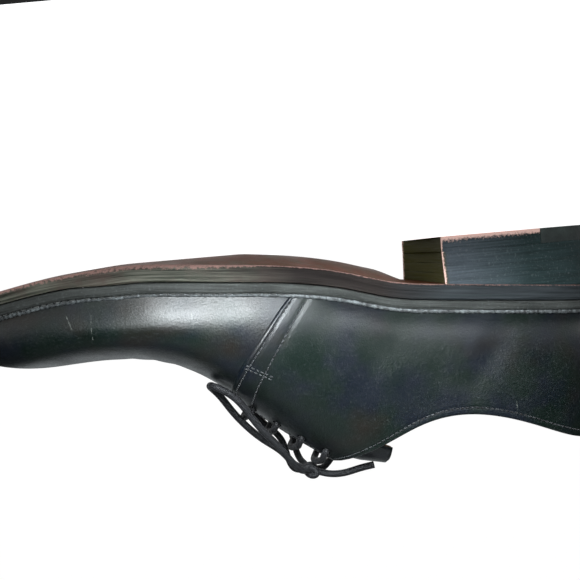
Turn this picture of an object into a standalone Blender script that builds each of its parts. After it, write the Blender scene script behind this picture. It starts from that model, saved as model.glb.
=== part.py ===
"""Right derby shoe: black leather upper on a welted leather sole with a stacked heel.

Frame: +X to the toe, +Y to the medial side, +Z up, floor at Z = 0, origin under the middle of the sole.
Sizes are in millimetres and become metres where a mesh is made. Inside the functions a place is
(ahead of the heel's back, across to the medial side, up from the floor).
"""
import bmesh
import bpy
import numpy as np
from mathutils import Matrix, Vector

MM = 0.001
LATERAL, MEDIAL = -1, 1
GAP = 0.3                      # between pieces that rest on each other

# Sole
LENGTH = 298.0                 # outsole, heel back to toe tip
OUTSOLE = 6.7                  # thickness at its edge
TOE_THIN = 1.6                 # how much thinner the worn toe is
THIN_FROM, THIN_TO = 210.0, 234.0        # where it thins
WELT = 4.0                     # thickness
WELT_REACH = 12.0              # width of the welt strip
FEATHER_GAP = 1.0              # welt top to the upper's lower edge
BREAST = 80.0                  # heel breast, ahead of the heel's back
BREAST_HOLLOW = 2.5            # how far the breast curves in at its middle
SOLE_LINE = {                  # lower edge of the outsole's side: heel seat, arch, tread and toe spring
    "ahead": (0, 40, 83, 97, 109, 121, 136, 157, 175, 192, 207, 222, 240, 260, 280, 298),
    "up": (27.9, 23.9, 19.8, 18.1, 15.4, 11.8, 8.3, 5.2, 3.4, 1.7, 0.8, 1.6, 3.3, 6.5, 10.5, 15.0),
}
EDGE_UP = 0.8                  # how far the worn tread rises towards its edge
WAIST_UP = 3.6                 # how much more the bevelled waist rises
WAIST_FROM, WAIST_TO = (88.0, 109.0), (168.0, 210.0)      # where that grows and fades
EDGE_RUN = 16.0                # width of both rises
OUTSOLE_EDGE = {               # round of the side from below, as shares of the rise and of the thickness
    "inset": (EDGE_RUN, 1.2, 0.2, 0.0, 0.1, 0.4),
    "rise": (0, 1, 1, 1, 1, 1),
    "share": (0, 0, 0.12, 0.4, 0.9, 1),
}
WELT_EDGE = {                  # section of the strip: inset and share of its thickness
    "inset": (WELT_REACH, 0.6, 0.3, 0.3, 0.7, 1.4, WELT_REACH),
    "share": (0, 0, 0.15, 0.6, 0.9, 1, 1),
}
SOLE_EDGE = {                  # outline of the sole, from the heel's back along the lateral side
    "ahead": (0, 10.5, 37, 80, 112, 150, 190, 235, 270, 289,
              298, 290, 272, 243, 210, 175, 130, 80, 37, 10.5),
    "across": (0, -25, -35, -34.5, -36.5, -45, -52.5, -48, -34.5, -18.5,
               3, 23.5, 39, 50, 53.5, 45, 29.5, 31.5, 34.5, 25),
}

# Heel
TOPLIFT = 6.2                  # thickness of the lowest layer
RUBBER_AHEAD = 36.0            # front of the rubber at the sides
RUBBER_BOW = 4.0               # how much further ahead the rubber reaches in the middle
LIFTS = 3
HEEL_INSET = 0.3               # heel seat inside the sole's edge
HEEL_TAPER = 2.0               # how much the heel draws in from seat to floor

# Upper
WALL_VAMP = 1.8
WALL_QUARTER = 3.2
MARGIN = {                     # welt showing outside the last and the vamp's wall
    "ahead": (0, 60, 110, 170, 298),
    "out": (4.2, 4.0, 4.0, 5.0, 5.0),
}
HEEL_CENTRE = 37.0             # axis of the heel's round
HEEL_BACK_STATION = -20.0      # the round heel counted on as an arc behind its axis
SEAM_FOOT = 147.0              # foot of the quarter's front edge
SEAM_STEP = 0.5                # width of the step from quarter to vamp
LOW_SHARE = 0.25               # share of a section's rise that lies below its widest line
LOW_OUT = 0.3                  # pulls on the curve below that line: out at the foot
LOW_UP = (0.35, 0.65)          # and up at its two ends
NOSE_START = 244.0             # from here the sections close towards the tip
NOSE_POWER = 2.5
LAST = {                       # one column for each section of the last
    "station": (-20, 10, 37, 80, 110, 130, 150, 162, 175, 185, 197, 222, 255, 298),
    "bulge_lateral": (2.6, 2.0, 1.3, 0.8, 0.8, 1.0, 1.5, 1.8, 2.0, 2.0, 2.0, 1.6, 1.5, 1.0),
    "bulge_medial": (2.6, 2.0, 1.3, 2.0, 2.8, 2.8, 2.5, 2.3, 2.0, 1.8, 1.6, 1.5, 1.5, 1.0),
    "widest_up": (24, 23, 22, 20, 18, 16, 14, 13, 12, 11.5, 11, 10, 9, 8),
    "ridge_shift": (0, 0, 0, 1, 4, 6.5, 7, 6.5, 5, 4, 3, 1, 0, 0),
    "ridge_up": (142, 142, 142, 134, 115, 98, 82.5, 72, 60.5, 52.5, 45.5, 40.2, 41.2, 40.5),
    "side_full": (0.16, 0.18, 0.22, 0.36, 0.48, 0.52, 0.52, 0.52, 0.52, 0.53, 0.55, 0.60, 0.65, 0.62),
    "top_full": (0.66, 0.68, 0.72, 0.66, 0.50, 0.40, 0.34, 0.34, 0.37, 0.40, 0.44, 0.50, 0.55, 0.55),
}
LEAN = {                       # how far ahead a column of the upper's grid has moved at the ridge
    "foot": (-20, 37, 80, 147, 200, 250, 298),
    "ahead": (0, 0, 8, 26, 22, 8, 0),
}
LEAN_ROOM = 0.3                # most of the way to the toe's tip that it moves
LEAN_POWER = 2.2               # how much more it leans low down, so that it looks straight from the side
TOPLINE = {                    # height of the collar's edge on the last, lateral side
    "ahead": (0, 16, 44, 68, 94, 110, 129, 150),
    "up": (99.5, 96.5, 85, 78, 80.5, 88, 97.5, 107),
}
MEDIAL_MORE = 4.0              # how much higher the collar is on the medial side
MEDIAL_FROM, MEDIAL_TO = (14.0, 56.0), (98.0, 128.0)   # where that grows and fades
FACING_GAP = 6.0               # half the opening between the facings
CORNER_ROUND = 1.5             # softness of the facing's top corner

# Tongue and insole
TONGUE = 2.6
TONGUE_CLEAR = 0.8             # below the upper's inner face
TONGUE_BEND = 129.0            # behind this the tongue leaves the last and leans back
TONGUE_FORM = {
    "ahead": (186, 174, 150, 129, 117, 104),
    "half_width": (13, 20, 26, 24, 21, 18),
    "rise": (0, 0, 0, 0, 4.5, 7.5),
}
INSOLE = 3.0
INSOLE_CLEAR = 0.8             # from the upper's inner face
INSOLE_TOE_CLEAR = 3.0         # more at the toe, where the vamp closes over it

# Lace
LACE = 3.2
EYELETS = 4
EYELET_HOLE = 4.2
EYELET_FIRST = 12.5            # from the throat along the facing's edge
EYELET_PITCH = 13.2
EYELET_INSET = 8.5             # from the facing's edge
LACE_CLEAR = 0.45              # between the lace and what it lies on
LIP_INSET, LIP_CLEAR = 0.5, 0.2          # where a bar leaves the facing's edge, and its lift there
BAR_BOW = 4.5                  # how far a bar stands out between the facings
KNOT_SIZE = (8.5, 12.0, 7.0)   # along the instep, across, out
KNOT_TILT = 0.35               # radians that the knot leans to the toe
KNOT_CLEAR = 0.4               # from the knot to the ends of loops and lace ends
KNOT_LEAD = 3.0                # they leave it straight as far as this
BOW = {                        # directions from the knot; places ahead, across and out from last or tongue
    "lace_loop_lateral": {
        "leaves": (0.85, -0.30, -0.45),
        "route": ((146, -1.0, 11.5), (154, -3.0, 11.2), (162, -5.5, 10.6), (170, -8.5, 8.4),
                  (177, -12.5, 5.6), (180.5, -18, 4.8), (178.5, -23, 4.9), (172.5, -23.5, 5.2),
                  (164.5, -19, 7.2), (156.5, -13.5, 9.8), (148.5, -9.0, 11.3)),
        "returns": (0.50, -0.80, -0.30)},
    "lace_loop_medial": {
        "leaves": (0.85, 0.45, 0.00),
        "route": ((146, 6.5, 11.9), (154, 9.5, 11.3), (162, 13.5, 9.9), (169, 18, 7.2), (173.5, 23.5, 5.3),
                  (172, 29, 5.2), (166, 30.5, 5.7), (159, 26.5, 7.0), (151.5, 19.5, 9.0), (144, 13, 10.9)),
        "returns": (0.42, 0.85, -0.30)},
    "lace_end_lateral": {
        "leaves": (-0.80, -0.55, 0.10),
        "route": ((123, -3.5, 6.6), (117.5, -6.2, 3.6), (111.5, -8.5, 1.8)),
        "returns": None},
    "lace_end_medial": {
        "leaves": (-0.75, 0.60, 0.15),
        "route": ((124, 8.0, 6.8), (121, 9.5, 4.6), (117, 11.5, 2.4)),
        "returns": None},
}

SIDE_STATIONS = 32             # points along each side of a sole piece
HEEL_STATIONS = 9
END_POINTS = 5                 # points across a bowed end
QUARTER_COLUMNS = 30
VAMP_COLUMNS = 25
WALL_ROWS = 11
CREST_ROWS = 2
TONGUE_ROWS, TONGUE_POINTS = 15, 13
HOLE_SIDES = 12
KNOT_SIDES = 14
CORD_STEP = 5.4                # length of a straight piece of cord
SHARP_ANGLE = 45.0             # edges that turn more than this are sharp
FINE = 160                     # samples where a curve is measured

MATERIALS = {                  # colour, roughness
    "black_leather": ((0.018, 0.019, 0.020), 0.36),
    "sole_leather": ((0.055, 0.026, 0.018), 0.50),
    "edge_leather": ((0.030, 0.026, 0.024), 0.48),
    "lining_leather": ((0.30, 0.19, 0.11), 0.60),
    "heel_rubber": ((0.020, 0.020, 0.021), 0.75),
    "waxed_cord": ((0.012, 0.012, 0.013), 0.55),
}


def spline(knots, values, at):
    """Natural cubic through the values at the knots, read at the places at."""
    knots = np.asarray(knots, float)
    values = np.asarray(values, float)
    step = np.diff(knots)
    slope = np.diff(values) / step
    system = np.eye(len(knots))
    right = np.zeros(len(knots))
    for i in range(1, len(knots) - 1):
        system[i, i - 1:i + 2] = step[i - 1], 2 * (step[i - 1] + step[i]), step[i]
        right[i] = 6 * (slope[i] - slope[i - 1])
    bend = np.linalg.solve(system, right)
    at = np.clip(at, knots[0], knots[-1])
    i = np.clip(np.searchsorted(knots, at) - 1, 0, len(step) - 1)
    h = step[i]
    a = (knots[i + 1] - at) / h
    b = 1 - a
    return (a * values[i] + b * values[i + 1]
            + ((a ** 3 - a) * bend[i] + (b ** 3 - b) * bend[i + 1]) * h * h / 6)


def ease(at, low, high):
    """Smooth step from 0 at low to 1 at high."""
    share = np.clip((at - low) / (high - low), 0, 1)
    return share * share * (3 - 2 * share)


def bezier(t, p0, p1, p2, p3):
    """Cubic Bezier value at t."""
    s = 1 - t
    return s ** 3 * p0 + 3 * s * s * t * p1 + 3 * s * t * t * p2 + t ** 3 * p3


def along(points):
    """Length run along a row of points, at each of them."""
    return np.concatenate([[0.0], np.cumsum(np.linalg.norm(np.diff(points, axis=0), axis=1))])


def smooth_path(points, spacing):
    """Points about spacing apart on a cubic through the given ones."""
    points = np.asarray(points, float)
    run = along(points)
    at = np.linspace(0, run[-1], max(6, int(round(run[-1] / spacing))))
    return np.stack([spline(run, points[:, k], at) for k in range(3)], -1)


def sole_outline():
    """The sole's closed edge and its outward normals, as fine samples from the heel's back."""
    points = np.column_stack([SOLE_EDGE["ahead"], SOLE_EDGE["across"]]).astype(float)
    wrap = 4
    ring = np.vstack([points[-wrap:], points, points[:wrap + 1]])
    run = along(ring)
    at = np.linspace(run[wrap], run[-wrap - 1], 12 * FINE, endpoint=False)
    edge = np.column_stack([spline(run, ring[:, k], at) for k in (0, 1)])
    tangent = np.roll(edge, -1, axis=0) - np.roll(edge, 1, axis=0)
    tangent /= np.linalg.norm(tangent, axis=1)[:, None]
    return edge, np.column_stack([-tangent[:, 1], tangent[:, 0]]) * -1


EDGE, EDGE_NORMAL = sole_outline()
ACROSS_MIDDLE = (EDGE[:, 1].min() + EDGE[:, 1].max()) / 2


def half_edge(side, inset):
    """One side of the sole's edge drawn in by inset, from the heel's back to the toe's tip."""
    curve = EDGE - EDGE_NORMAL * np.reshape(inset, (-1, 1))
    curve = np.roll(curve, -int(np.argmin(curve[:, 0])), axis=0)
    tip = int(np.argmax(curve[:, 0]))
    if side == LATERAL:
        return curve[:tip + 1]
    return np.vstack([curve[:1], curve[:tip - 1:-1]])


def sole_edge_up(ahead):
    """Height of the lower edge of the outsole's side."""
    return spline(SOLE_LINE["ahead"], SOLE_LINE["up"], ahead)


def sole_underside(ahead):
    """Height of the outsole's underside in its middle: below its edge, but never below the floor."""
    drop = ease(ahead, *WAIST_FROM) * (EDGE_UP + WAIST_UP * (1 - ease(ahead, *WAIST_TO)))
    return np.maximum(sole_edge_up(ahead) - drop, 0)


def edge_lift(ahead):
    """How far the underside rises from its middle to its edge."""
    return sole_edge_up(ahead) - sole_underside(ahead)


def outsole_top(ahead):
    """Height of the outsole's upper face."""
    thin = TOE_THIN * ease(ahead, THIN_FROM, THIN_TO)
    return sole_edge_up(ahead) + OUTSOLE - thin


def feather_up(ahead):
    """Height of the upper's lower edge."""
    return outsole_top(ahead) + GAP + WELT + FEATHER_GAP


LAST_INSET = np.interp(EDGE[:, 0], MARGIN["ahead"], MARGIN["out"]) + WALL_VAMP
FEATHER = {side: half_edge(side, LAST_INSET) for side in (LATERAL, MEDIAL)}
TIP = FEATHER[LATERAL][-1, 0]


def feather_across(side, ahead):
    """Place across of the last's lower edge on one side."""
    return np.interp(ahead, FEATHER[side][:, 0], FEATHER[side][:, 1])


def middle_across(ahead):
    """Place across halfway between the last's two lower edges."""
    return (feather_across(LATERAL, ahead) + feather_across(MEDIAL, ahead)) / 2


def heel_reach(side, turn):
    """Distance from the heel's axis to the last's lower edge, turn radians round from the side."""
    rear = FEATHER[side][FEATHER[side][:, 0] <= HEEL_CENTRE]
    back = HEEL_CENTRE - rear[:, 0]
    out = side * (rear[:, 1] - middle_across(HEEL_CENTRE))
    angle = np.arctan2(back, out)
    angle[0] = np.pi / 2
    return np.interp(turn, angle[::-1], np.hypot(back, out)[::-1])


def section(name, station):
    """A column of the LAST table read at the stations."""
    return spline(LAST["station"], LAST[name], station)


def ridge_across(ahead):
    """Place across of the last's ridge, which comes back to the middle at the toe."""
    shift = section("ridge_shift", ahead) * (1 - ease(ahead, NOSE_START, TIP))
    return middle_across(np.maximum(ahead, HEEL_CENTRE)) + shift


def last_point(side, station, rise):
    """Places on the last. Sections stand across the shoe, and fan round an axis in the heel.

    A section rises from the lower edge (rise 0) over its widest line (LOW_SHARE) to the ridge (1) on
    two cubics that meet upright, and it reaches the ridge level. Towards the toe it closes as a
    rounded nose.
    """
    station, rise = np.broadcast_arrays(np.asarray(station, float), np.asarray(rise, float))
    station = np.minimum(station, TIP)
    turn = np.clip((HEEL_CENTRE - station) / (HEEL_CENTRE - HEEL_BACK_STATION), 0, 1) * np.pi / 2
    foot = np.maximum(station, HEEL_CENTRE)
    axis_across = ridge_across(station)
    reach = np.where(turn > 0, heel_reach(side, turn), side * (feather_across(side, foot) - axis_across))
    base = feather_up(foot - np.sin(turn) * reach)
    nose_run = np.clip((foot - NOSE_START) / (TIP - NOSE_START), 0, 1)
    nose = (1 - nose_run ** NOSE_POWER) ** (1 / NOSE_POWER)
    bulge = section("bulge_lateral" if side == LATERAL else "bulge_medial", station) * nose
    widest = section("widest_up", station) * nose
    height = (section("ridge_up", station) - base) * nose
    wide = reach + bulge
    low = np.clip(rise / LOW_SHARE, 0, 1)
    high = np.clip((rise - LOW_SHARE) / (1 - LOW_SHARE), 0, 1)
    upper_half = rise > LOW_SHARE
    out = np.where(upper_half,
                   bezier(high, wide, wide, wide * section("top_full", station), 0 * wide),
                   bezier(low, reach, reach + LOW_OUT * bulge, wide, wide))
    shoulder = widest + section("side_full", station) * (height - widest)
    up = np.where(upper_half,
                  bezier(high, widest, shoulder, height, height),
                  bezier(low, 0 * widest, LOW_UP[0] * widest, LOW_UP[1] * widest, widest))
    return np.stack([foot - np.sin(turn) * out, axis_across + side * np.cos(turn) * out, base + up], -1)


def column_point(side, foot, rise):
    """Places on the columns of the upper's grid, which lean ahead as they rise like the quarter's edge."""
    foot, rise = np.broadcast_arrays(np.asarray(foot, float), np.asarray(rise, float))
    lower = last_point(side, foot, 0 * rise)[..., 2]
    ridge = last_point(side, foot, 0 * rise + 1)[..., 2]
    share = (last_point(side, foot, rise)[..., 2] - lower) / np.maximum(ridge - lower, 1e-6)
    lean = np.minimum(spline(LEAN["foot"], LEAN["ahead"], foot), LEAN_ROOM * (TIP - foot))
    return last_point(side, foot + lean * (1 - np.clip(1 - share, 0, 1) ** LEAN_POWER), rise)


def topline_up(side, ahead):
    """Height of the collar's edge on one side."""
    up = spline(TOPLINE["ahead"], TOPLINE["up"], ahead)
    if side == MEDIAL:
        up = up + MEDIAL_MORE * ease(ahead, *MEDIAL_FROM) * (1 - ease(ahead, *MEDIAL_TO))
    return up


def past_edge(side, points):
    """How far places lie past the upper's cut edge, by the collar's height and by the facing's gap."""
    ahead = points[..., 0]
    over = points[..., 2] - topline_up(side, ahead)
    over = np.where(ahead > TOPLINE["ahead"][-1], -LENGTH, over)
    gap = FACING_GAP * np.clip((TIP - ahead) / (TIP - NOSE_START), 0, 1)
    within = np.where(ahead < BREAST, -LENGTH, gap - side * (points[..., 1] - ridge_across(ahead)))
    high = np.maximum(over, within)
    return high + CORNER_ROUND * np.log1p(np.exp(-np.abs(over - within) / CORNER_ROUND))


def edge_rise(side, feet):
    """Rise at which each column meets the upper's cut edge."""
    rises = np.linspace(0, 1, 2 * FINE)
    past = past_edge(side, column_point(side, feet[:, None], rises))
    after = np.argmax(past >= 0, axis=1)
    row = np.arange(len(feet))
    before = np.maximum(after - 1, 0)
    share = past[row, before] / np.minimum(past[row, before] - past[row, after], -1e-9)
    return rises[before] + np.clip(share, 0, 1) * (rises[after] - rises[before])


def even_rows(side, feet, low, high, count):
    """Grid of places up the columns from rise low to rise high, evenly spaced by length."""
    fine = low[:, None] + (high - low)[:, None] * np.linspace(0, 1, FINE)
    points = column_point(side, feet[:, None], fine)
    rows = []
    for rise, column in zip(fine, points):
        run = along(column)
        rows.append(np.interp(np.linspace(0, 1, count + 1), run / max(run[-1], 1e-9), rise))
    return column_point(side, feet[:, None], np.array(rows))


def crown_up(ahead, across):
    """Height of the last's top at a place in plan."""
    axis_across = ridge_across(ahead)
    side = LATERAL if across < axis_across else MEDIAL
    arch = last_point(side, ahead, np.linspace(1, LOW_SHARE, FINE))
    return float(np.interp(abs(across - axis_across), side * (arch[:, 1] - axis_across), arch[:, 2]))


def tongue_up(ahead, across):
    """Height of the tongue's middle line of places, before its clearance: on the last, then leaning back."""
    rise = np.interp(-ahead, -np.array(TONGUE_FORM["ahead"], float), TONGUE_FORM["rise"])
    return crown_up(max(ahead, TONGUE_BEND), across) + rise


def out_from_last(ahead, across, out):
    """Place a distance out from the top of the last, or from the tongue's line behind it."""
    step = 0.5
    slope_ahead = (tongue_up(ahead + step, across) - tongue_up(ahead - step, across)) / (2 * step)
    slope_across = (tongue_up(ahead, across + step) - tongue_up(ahead, across - step)) / (2 * step)
    normal = np.array((-slope_ahead, -slope_across, 1.0))
    return np.array((ahead, across, tongue_up(ahead, across))) + normal / np.linalg.norm(normal) * out


def facing_place(side, run, inset):
    """Place on the last and outward normal, run along the facing from the throat and inset from its edge."""
    feet = np.linspace(SEAM_FOOT, BREAST, FINE)
    rises = edge_rise(side, feet)
    edge_run = along(column_point(side, feet, rises))
    foot = np.interp(run, edge_run, feet)
    down = np.linspace(np.interp(run, edge_run, rises), LOW_SHARE, FINE)
    rise = np.interp(inset, along(column_point(side, foot, down)), down)
    step = 1e-3
    ahead = column_point(side, foot + step, rise) - column_point(side, foot - step, rise)
    up = column_point(side, foot, rise + step) - column_point(side, foot, rise - step)
    normal = np.cross(ahead, up) * -side
    return column_point(side, foot, rise), normal / np.linalg.norm(normal)


def placed(points):
    """Metres in the shoe's frame, from places in millimetres."""
    return (np.asarray(points, float) - (LENGTH / 2, ACROSS_MIDDLE, 0)) * MM


def make_material(name):
    """Principled material of one finish."""
    colour, roughness = MATERIALS[name]
    material = bpy.data.materials.new(name)
    material.use_nodes = True
    shader = material.node_tree.nodes["Principled BSDF"]
    shader.inputs["Base Color"].default_value = (*colour, 1)
    shader.inputs["Roughness"].default_value = roughness
    shader.inputs["Metallic"].default_value = 0.0
    material.diffuse_color = (*colour, 1)
    return material


def make_object(name, data, finish):
    """Object of a mesh or curve in the shoe's collection, with its finish."""
    part = bpy.data.objects.new(name, data)
    shoe.objects.link(part)
    data.materials.append(finishes[finish])
    return part


def mesh_from(name, bm):
    """Welded mesh with smooth faces, sharp where faces meet at a clear angle."""
    bmesh.ops.remove_doubles(bm, verts=bm.verts, dist=0.01 * MM)
    mesh = bpy.data.meshes.new(name)
    bm.to_mesh(mesh)
    bm.free()
    mesh.shade_smooth()
    mesh.set_sharp_from_angle(angle=np.radians(SHARP_ANGLE))
    return mesh


def rim(inset, back=None, front=None, count=SIDE_STATIONS):
    """Closed outline of a sole piece and the counts of its back, side and front points.

    back and front are (ahead, bow) of an end cut across, or None for the sole's own round end. The
    points run over the back, the lateral side, the front and the medial side.
    """
    halves = {side: half_edge(side, inset) for side in (LATERAL, MEDIAL)}
    low = halves[LATERAL][0, 0] if back is None else back[0]
    high = halves[LATERAL][-1, 0] if front is None else front[0]
    start = 0.0 if back is None else 0.5
    stop = 1.0 if front is None else 0.5
    turn = np.linspace(start, stop, count + (back is None) + (front is None))
    if start == stop:
        share = np.linspace(0, 1, count)
    else:
        wave = np.cos(np.pi * turn)
        share = (wave[0] - wave) / (wave[0] - wave[-1])
    share = share[back is None:len(share) - (front is None)]
    ahead = low + (high - low) * share
    sides = {side: np.column_stack([ahead, np.interp(ahead, half[:, 0], half[:, 1])])
             for side, half in halves.items()}

    def end(cut, first, last, tip):
        if cut is None:
            return tip[None, :]
        share_across = np.linspace(0, 1, END_POINTS + 2)[1:-1]
        bow = cut[1] * (1 - (2 * share_across - 1) ** 2)
        return np.column_stack([cut[0] + bow, first[1] + (last[1] - first[1]) * share_across])

    back_points = end(back, sides[MEDIAL][0], sides[LATERAL][0], halves[LATERAL][0])
    front_points = end(front, sides[LATERAL][-1], sides[MEDIAL][-1], halves[LATERAL][-1])
    loop = np.vstack([back_points, sides[LATERAL], front_points, sides[MEDIAL][::-1]])
    return loop, (len(back_points), len(ahead), len(front_points))


def raised(loop, up):
    """Rim lifted to heights given by a function of the distance ahead."""
    return np.column_stack([loop, up(loop[:, 0])])


def side_faces(bm, below, above):
    """Quads between two closed rows of vertices."""
    count = len(below)
    for i in range(count):
        j = (i + 1) % count
        bm.faces.new((below[j], below[i], above[i], above[j]))


def cap_faces(bm, row, counts, upward):
    """Strips across between the two sides of a rim. The first and last take in the rim's ends."""
    back, side, front = counts
    lateral = row[back:back + side]
    medial = row[back + side + front:][::-1]
    faces = [row[:back] + [lateral[0], lateral[1], medial[1], medial[0]],
             lateral[-2:] + row[back + side:back + side + front] + [medial[-1], medial[-2]]]
    faces += [[lateral[i], lateral[i + 1], medial[i + 1], medial[i]] for i in range(1, side - 2)]
    for face in faces:
        bm.faces.new(face if upward else face[::-1])


def slab(name, loops, counts, finish):
    """Closed piece of stacked rims, from the lowest to the highest."""
    bm = bmesh.new()
    rows = [[bm.verts.new(p) for p in placed(loop)] for loop in loops]
    for below, above in zip(rows, rows[1:]):
        side_faces(bm, below, above)
    cap_faces(bm, rows[0], counts, upward=False)
    cap_faces(bm, rows[-1], counts, upward=True)
    bmesh.ops.recalc_face_normals(bm, faces=bm.faces)
    return make_object(name, mesh_from(name, bm), finish)


def make_outsole():
    """Outsole whose tread and waist rise to the edge, with a slightly rounded side."""
    loops = []
    for inset, rise, share in zip(*OUTSOLE_EDGE.values()):
        loop, counts = rim(inset)
        low = sole_underside(loop[:, 0]) + rise * edge_lift(loop[:, 0])
        up = (1 - share) * low + share * outsole_top(loop[:, 0])
        loops.append(np.column_stack([loop, up]))
    slab("outsole", loops, counts, "sole_leather")


def make_welt():
    """Welt strip round the whole shoe, with a rounded outer edge."""
    bm = bmesh.new()
    rows = []
    for inset, share in zip(*WELT_EDGE.values()):
        loop, counts = rim(inset)
        level = raised(loop, lambda ahead: outsole_top(ahead) + GAP + share * WELT)
        rows.append([bm.verts.new(p) for p in placed(level)])
    for below, above in zip(rows, rows[1:] + rows[:1]):
        side_faces(bm, below, above)
    bmesh.ops.recalc_face_normals(bm, faces=bm.faces)
    make_object("welt", mesh_from("welt", bm), "edge_leather")


def make_heel():
    """Three leather lifts under the seat, and the top piece in leather ahead and rubber behind."""
    breast = (BREAST, -BREAST_HOLLOW)
    start = TOPLIFT + GAP

    def stack_up(share):
        return lambda ahead: start + share * (sole_underside(ahead) - GAP - start)

    for number in range(LIFTS):
        low = 1 - (number + 1) / LIFTS
        high = 1 - number / LIFTS
        bottom, counts = rim(HEEL_INSET + HEEL_TAPER * (1 - low), front=breast, count=HEEL_STATIONS)
        top, counts = rim(HEEL_INSET + HEEL_TAPER * (1 - high), front=breast, count=HEEL_STATIONS)
        lower_gap = 0.0 if low == 0 else GAP
        lower = raised(bottom, stack_up(low)) + (0, 0, lower_gap)
        slab(f"heel_lift_{number + 1}", [lower, raised(top, stack_up(high))], counts, "edge_leather")
    seam = (RUBBER_AHEAD, RUBBER_BOW)
    ahead_of_seam = (RUBBER_AHEAD + GAP, RUBBER_BOW)
    for name, back, front, finish in (("toplift_rubber", None, seam, "heel_rubber"),
                                      ("toplift_leather", ahead_of_seam, breast, "edge_leather")):
        loop, counts = rim(HEEL_INSET + HEEL_TAPER, back, front, HEEL_STATIONS)
        levels = [raised(loop, lambda ahead: 0 * ahead + up) for up in (0, TOPLIFT)]
        slab(name, levels, counts, finish)


def make_insole():
    """Insole inside the foot of the upper."""
    loop, counts = rim(LAST_INSET + INSOLE_CLEAR + INSOLE_TOE_CLEAR * ease(EDGE[:, 0], NOSE_START, LENGTH))
    levels = [raised(loop, lambda ahead: feather_up(ahead) + up) for up in (GAP, GAP + INSOLE)]
    slab("insole", levels, counts, "lining_leather")


def make_upper():
    """Vamp and quarters as one wall on the last, thicker where the quarters lap over the vamp."""
    quarter_feet = np.linspace(HEEL_BACK_STATION, SEAM_FOOT - SEAM_STEP / 2, QUARTER_COLUMNS)
    nose_turn = np.linspace(0, 1, VAMP_COLUMNS) * np.pi / 2
    vamp_start = SEAM_FOOT + SEAM_STEP / 2
    vamp_feet = vamp_start + (TIP - vamp_start) * np.sin(nose_turn)
    feet = np.concatenate([quarter_feet, vamp_feet])
    bm = bmesh.new()
    wall = bm.verts.layers.deform.verify()

    def add_grid(side, points, thick):
        grid = [[bm.verts.new(p) for p in placed(column)] for column in points]
        for column, share in zip(grid, thick):
            for vert in column:
                vert[wall][0] = share
        for a, b in zip(grid, grid[1:]):
            for r in range(len(a) - 1):
                face = (a[r], b[r], b[r + 1], a[r + 1])
                bm.faces.new(face if side == LATERAL else face[::-1])

    vamp_share = WALL_VAMP / WALL_QUARTER
    for side in (LATERAL, MEDIAL):
        stop = edge_rise(side, feet)
        thick = np.where(feet < SEAM_FOOT, 1.0, vamp_share)
        add_grid(side, even_rows(side, feet, 0 * stop, stop, WALL_ROWS), thick)
        crest = stop[QUARTER_COLUMNS:]
        add_grid(side, even_rows(side, vamp_feet, crest, 0 * crest + 1, CREST_ROWS), thick[QUARTER_COLUMNS:])
    upper = make_object("upper", mesh_from("upper", bm), "black_leather")
    upper.vertex_groups.new(name="wall")
    solidify = upper.modifiers.new("wall", "SOLIDIFY")
    solidify.thickness = WALL_QUARTER * MM
    solidify.offset = 1
    solidify.vertex_group = "wall"
    return upper


def eyelet_places(side):
    """Places and normals of one facing's eyelets on the outer face, from the throat up."""
    places = []
    for number in range(EYELETS):
        place, normal = facing_place(side, EYELET_FIRST + number * EYELET_PITCH, EYELET_INSET)
        places.append((place + normal * WALL_QUARTER, normal))
    return places


def punch_eyelets(upper):
    """Holes through both facings."""
    radius = EYELET_HOLE / 2 * MM
    bm = bmesh.new()
    for side in (LATERAL, MEDIAL):
        for place, normal in eyelet_places(side):
            turn = Vector(normal).to_track_quat("Z", "Y").to_matrix().to_4x4()
            spot = Matrix.Translation(Vector(placed(place - normal * WALL_QUARTER / 2)))
            bmesh.ops.create_cone(bm, cap_ends=True, segments=HOLE_SIDES, depth=3 * WALL_QUARTER * MM,
                                  radius1=radius, radius2=radius, matrix=spot @ turn)
    mesh = bpy.data.meshes.new("eyelet_punch")
    bm.to_mesh(mesh)
    bm.free()
    punch = bpy.data.objects.new("eyelet_punch", mesh)
    cutters.objects.link(punch)
    punch.hide_render = True
    punch.display_type = "WIRE"
    cut = upper.modifiers.new("eyelets", "BOOLEAN")
    cut.operation = "DIFFERENCE"
    cut.object = punch


def make_tongue():
    """Tongue on the last's crown under the facings, leaning back past their tops."""
    stations = np.linspace(TONGUE_FORM["ahead"][0], TONGUE_FORM["ahead"][-1], TONGUE_ROWS)
    width_at = -np.array(TONGUE_FORM["ahead"], float)
    shares = np.linspace(-1, 1, TONGUE_POINTS)
    grid = []
    for ahead in stations:
        half = np.interp(-ahead, width_at, TONGUE_FORM["half_width"])
        axis = ridge_across(max(ahead, TONGUE_BEND))
        grid.append([(ahead, axis + half * share, tongue_up(ahead, axis + half * share)) for share in shares])
    grid = np.array(grid)
    normal = np.cross(np.gradient(grid, axis=1), np.gradient(grid, axis=0))
    normal /= np.linalg.norm(normal, axis=2)[..., None]
    grid = grid - normal * np.sign(normal[..., 2:]) * TONGUE_CLEAR
    bm = bmesh.new()
    rows = [[bm.verts.new(p) for p in placed(row)] for row in grid]
    for a, b in zip(rows, rows[1:]):
        for i in range(len(a) - 1):
            bm.faces.new((a[i], a[i + 1], b[i + 1], b[i]))
    tongue = make_object("tongue", mesh_from("tongue", bm), "black_leather")
    solidify = tongue.modifiers.new("thickness", "SOLIDIFY")
    solidify.thickness = TONGUE * MM
    solidify.offset = -1


def make_cord(name, points):
    """Round cord along places in millimetres."""
    curve = bpy.data.curves.new(name, "CURVE")
    curve.dimensions = "3D"
    curve.bevel_depth = LACE / 2 * MM
    curve.bevel_resolution = 2
    curve.use_fill_caps = True
    line = curve.splines.new("POLY")
    route = placed(points)
    line.points.add(len(route) - 1)
    for point, place in zip(line.points, route):
        point.co = (*place, 1)
    make_object(name, curve, "waxed_cord")


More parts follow.
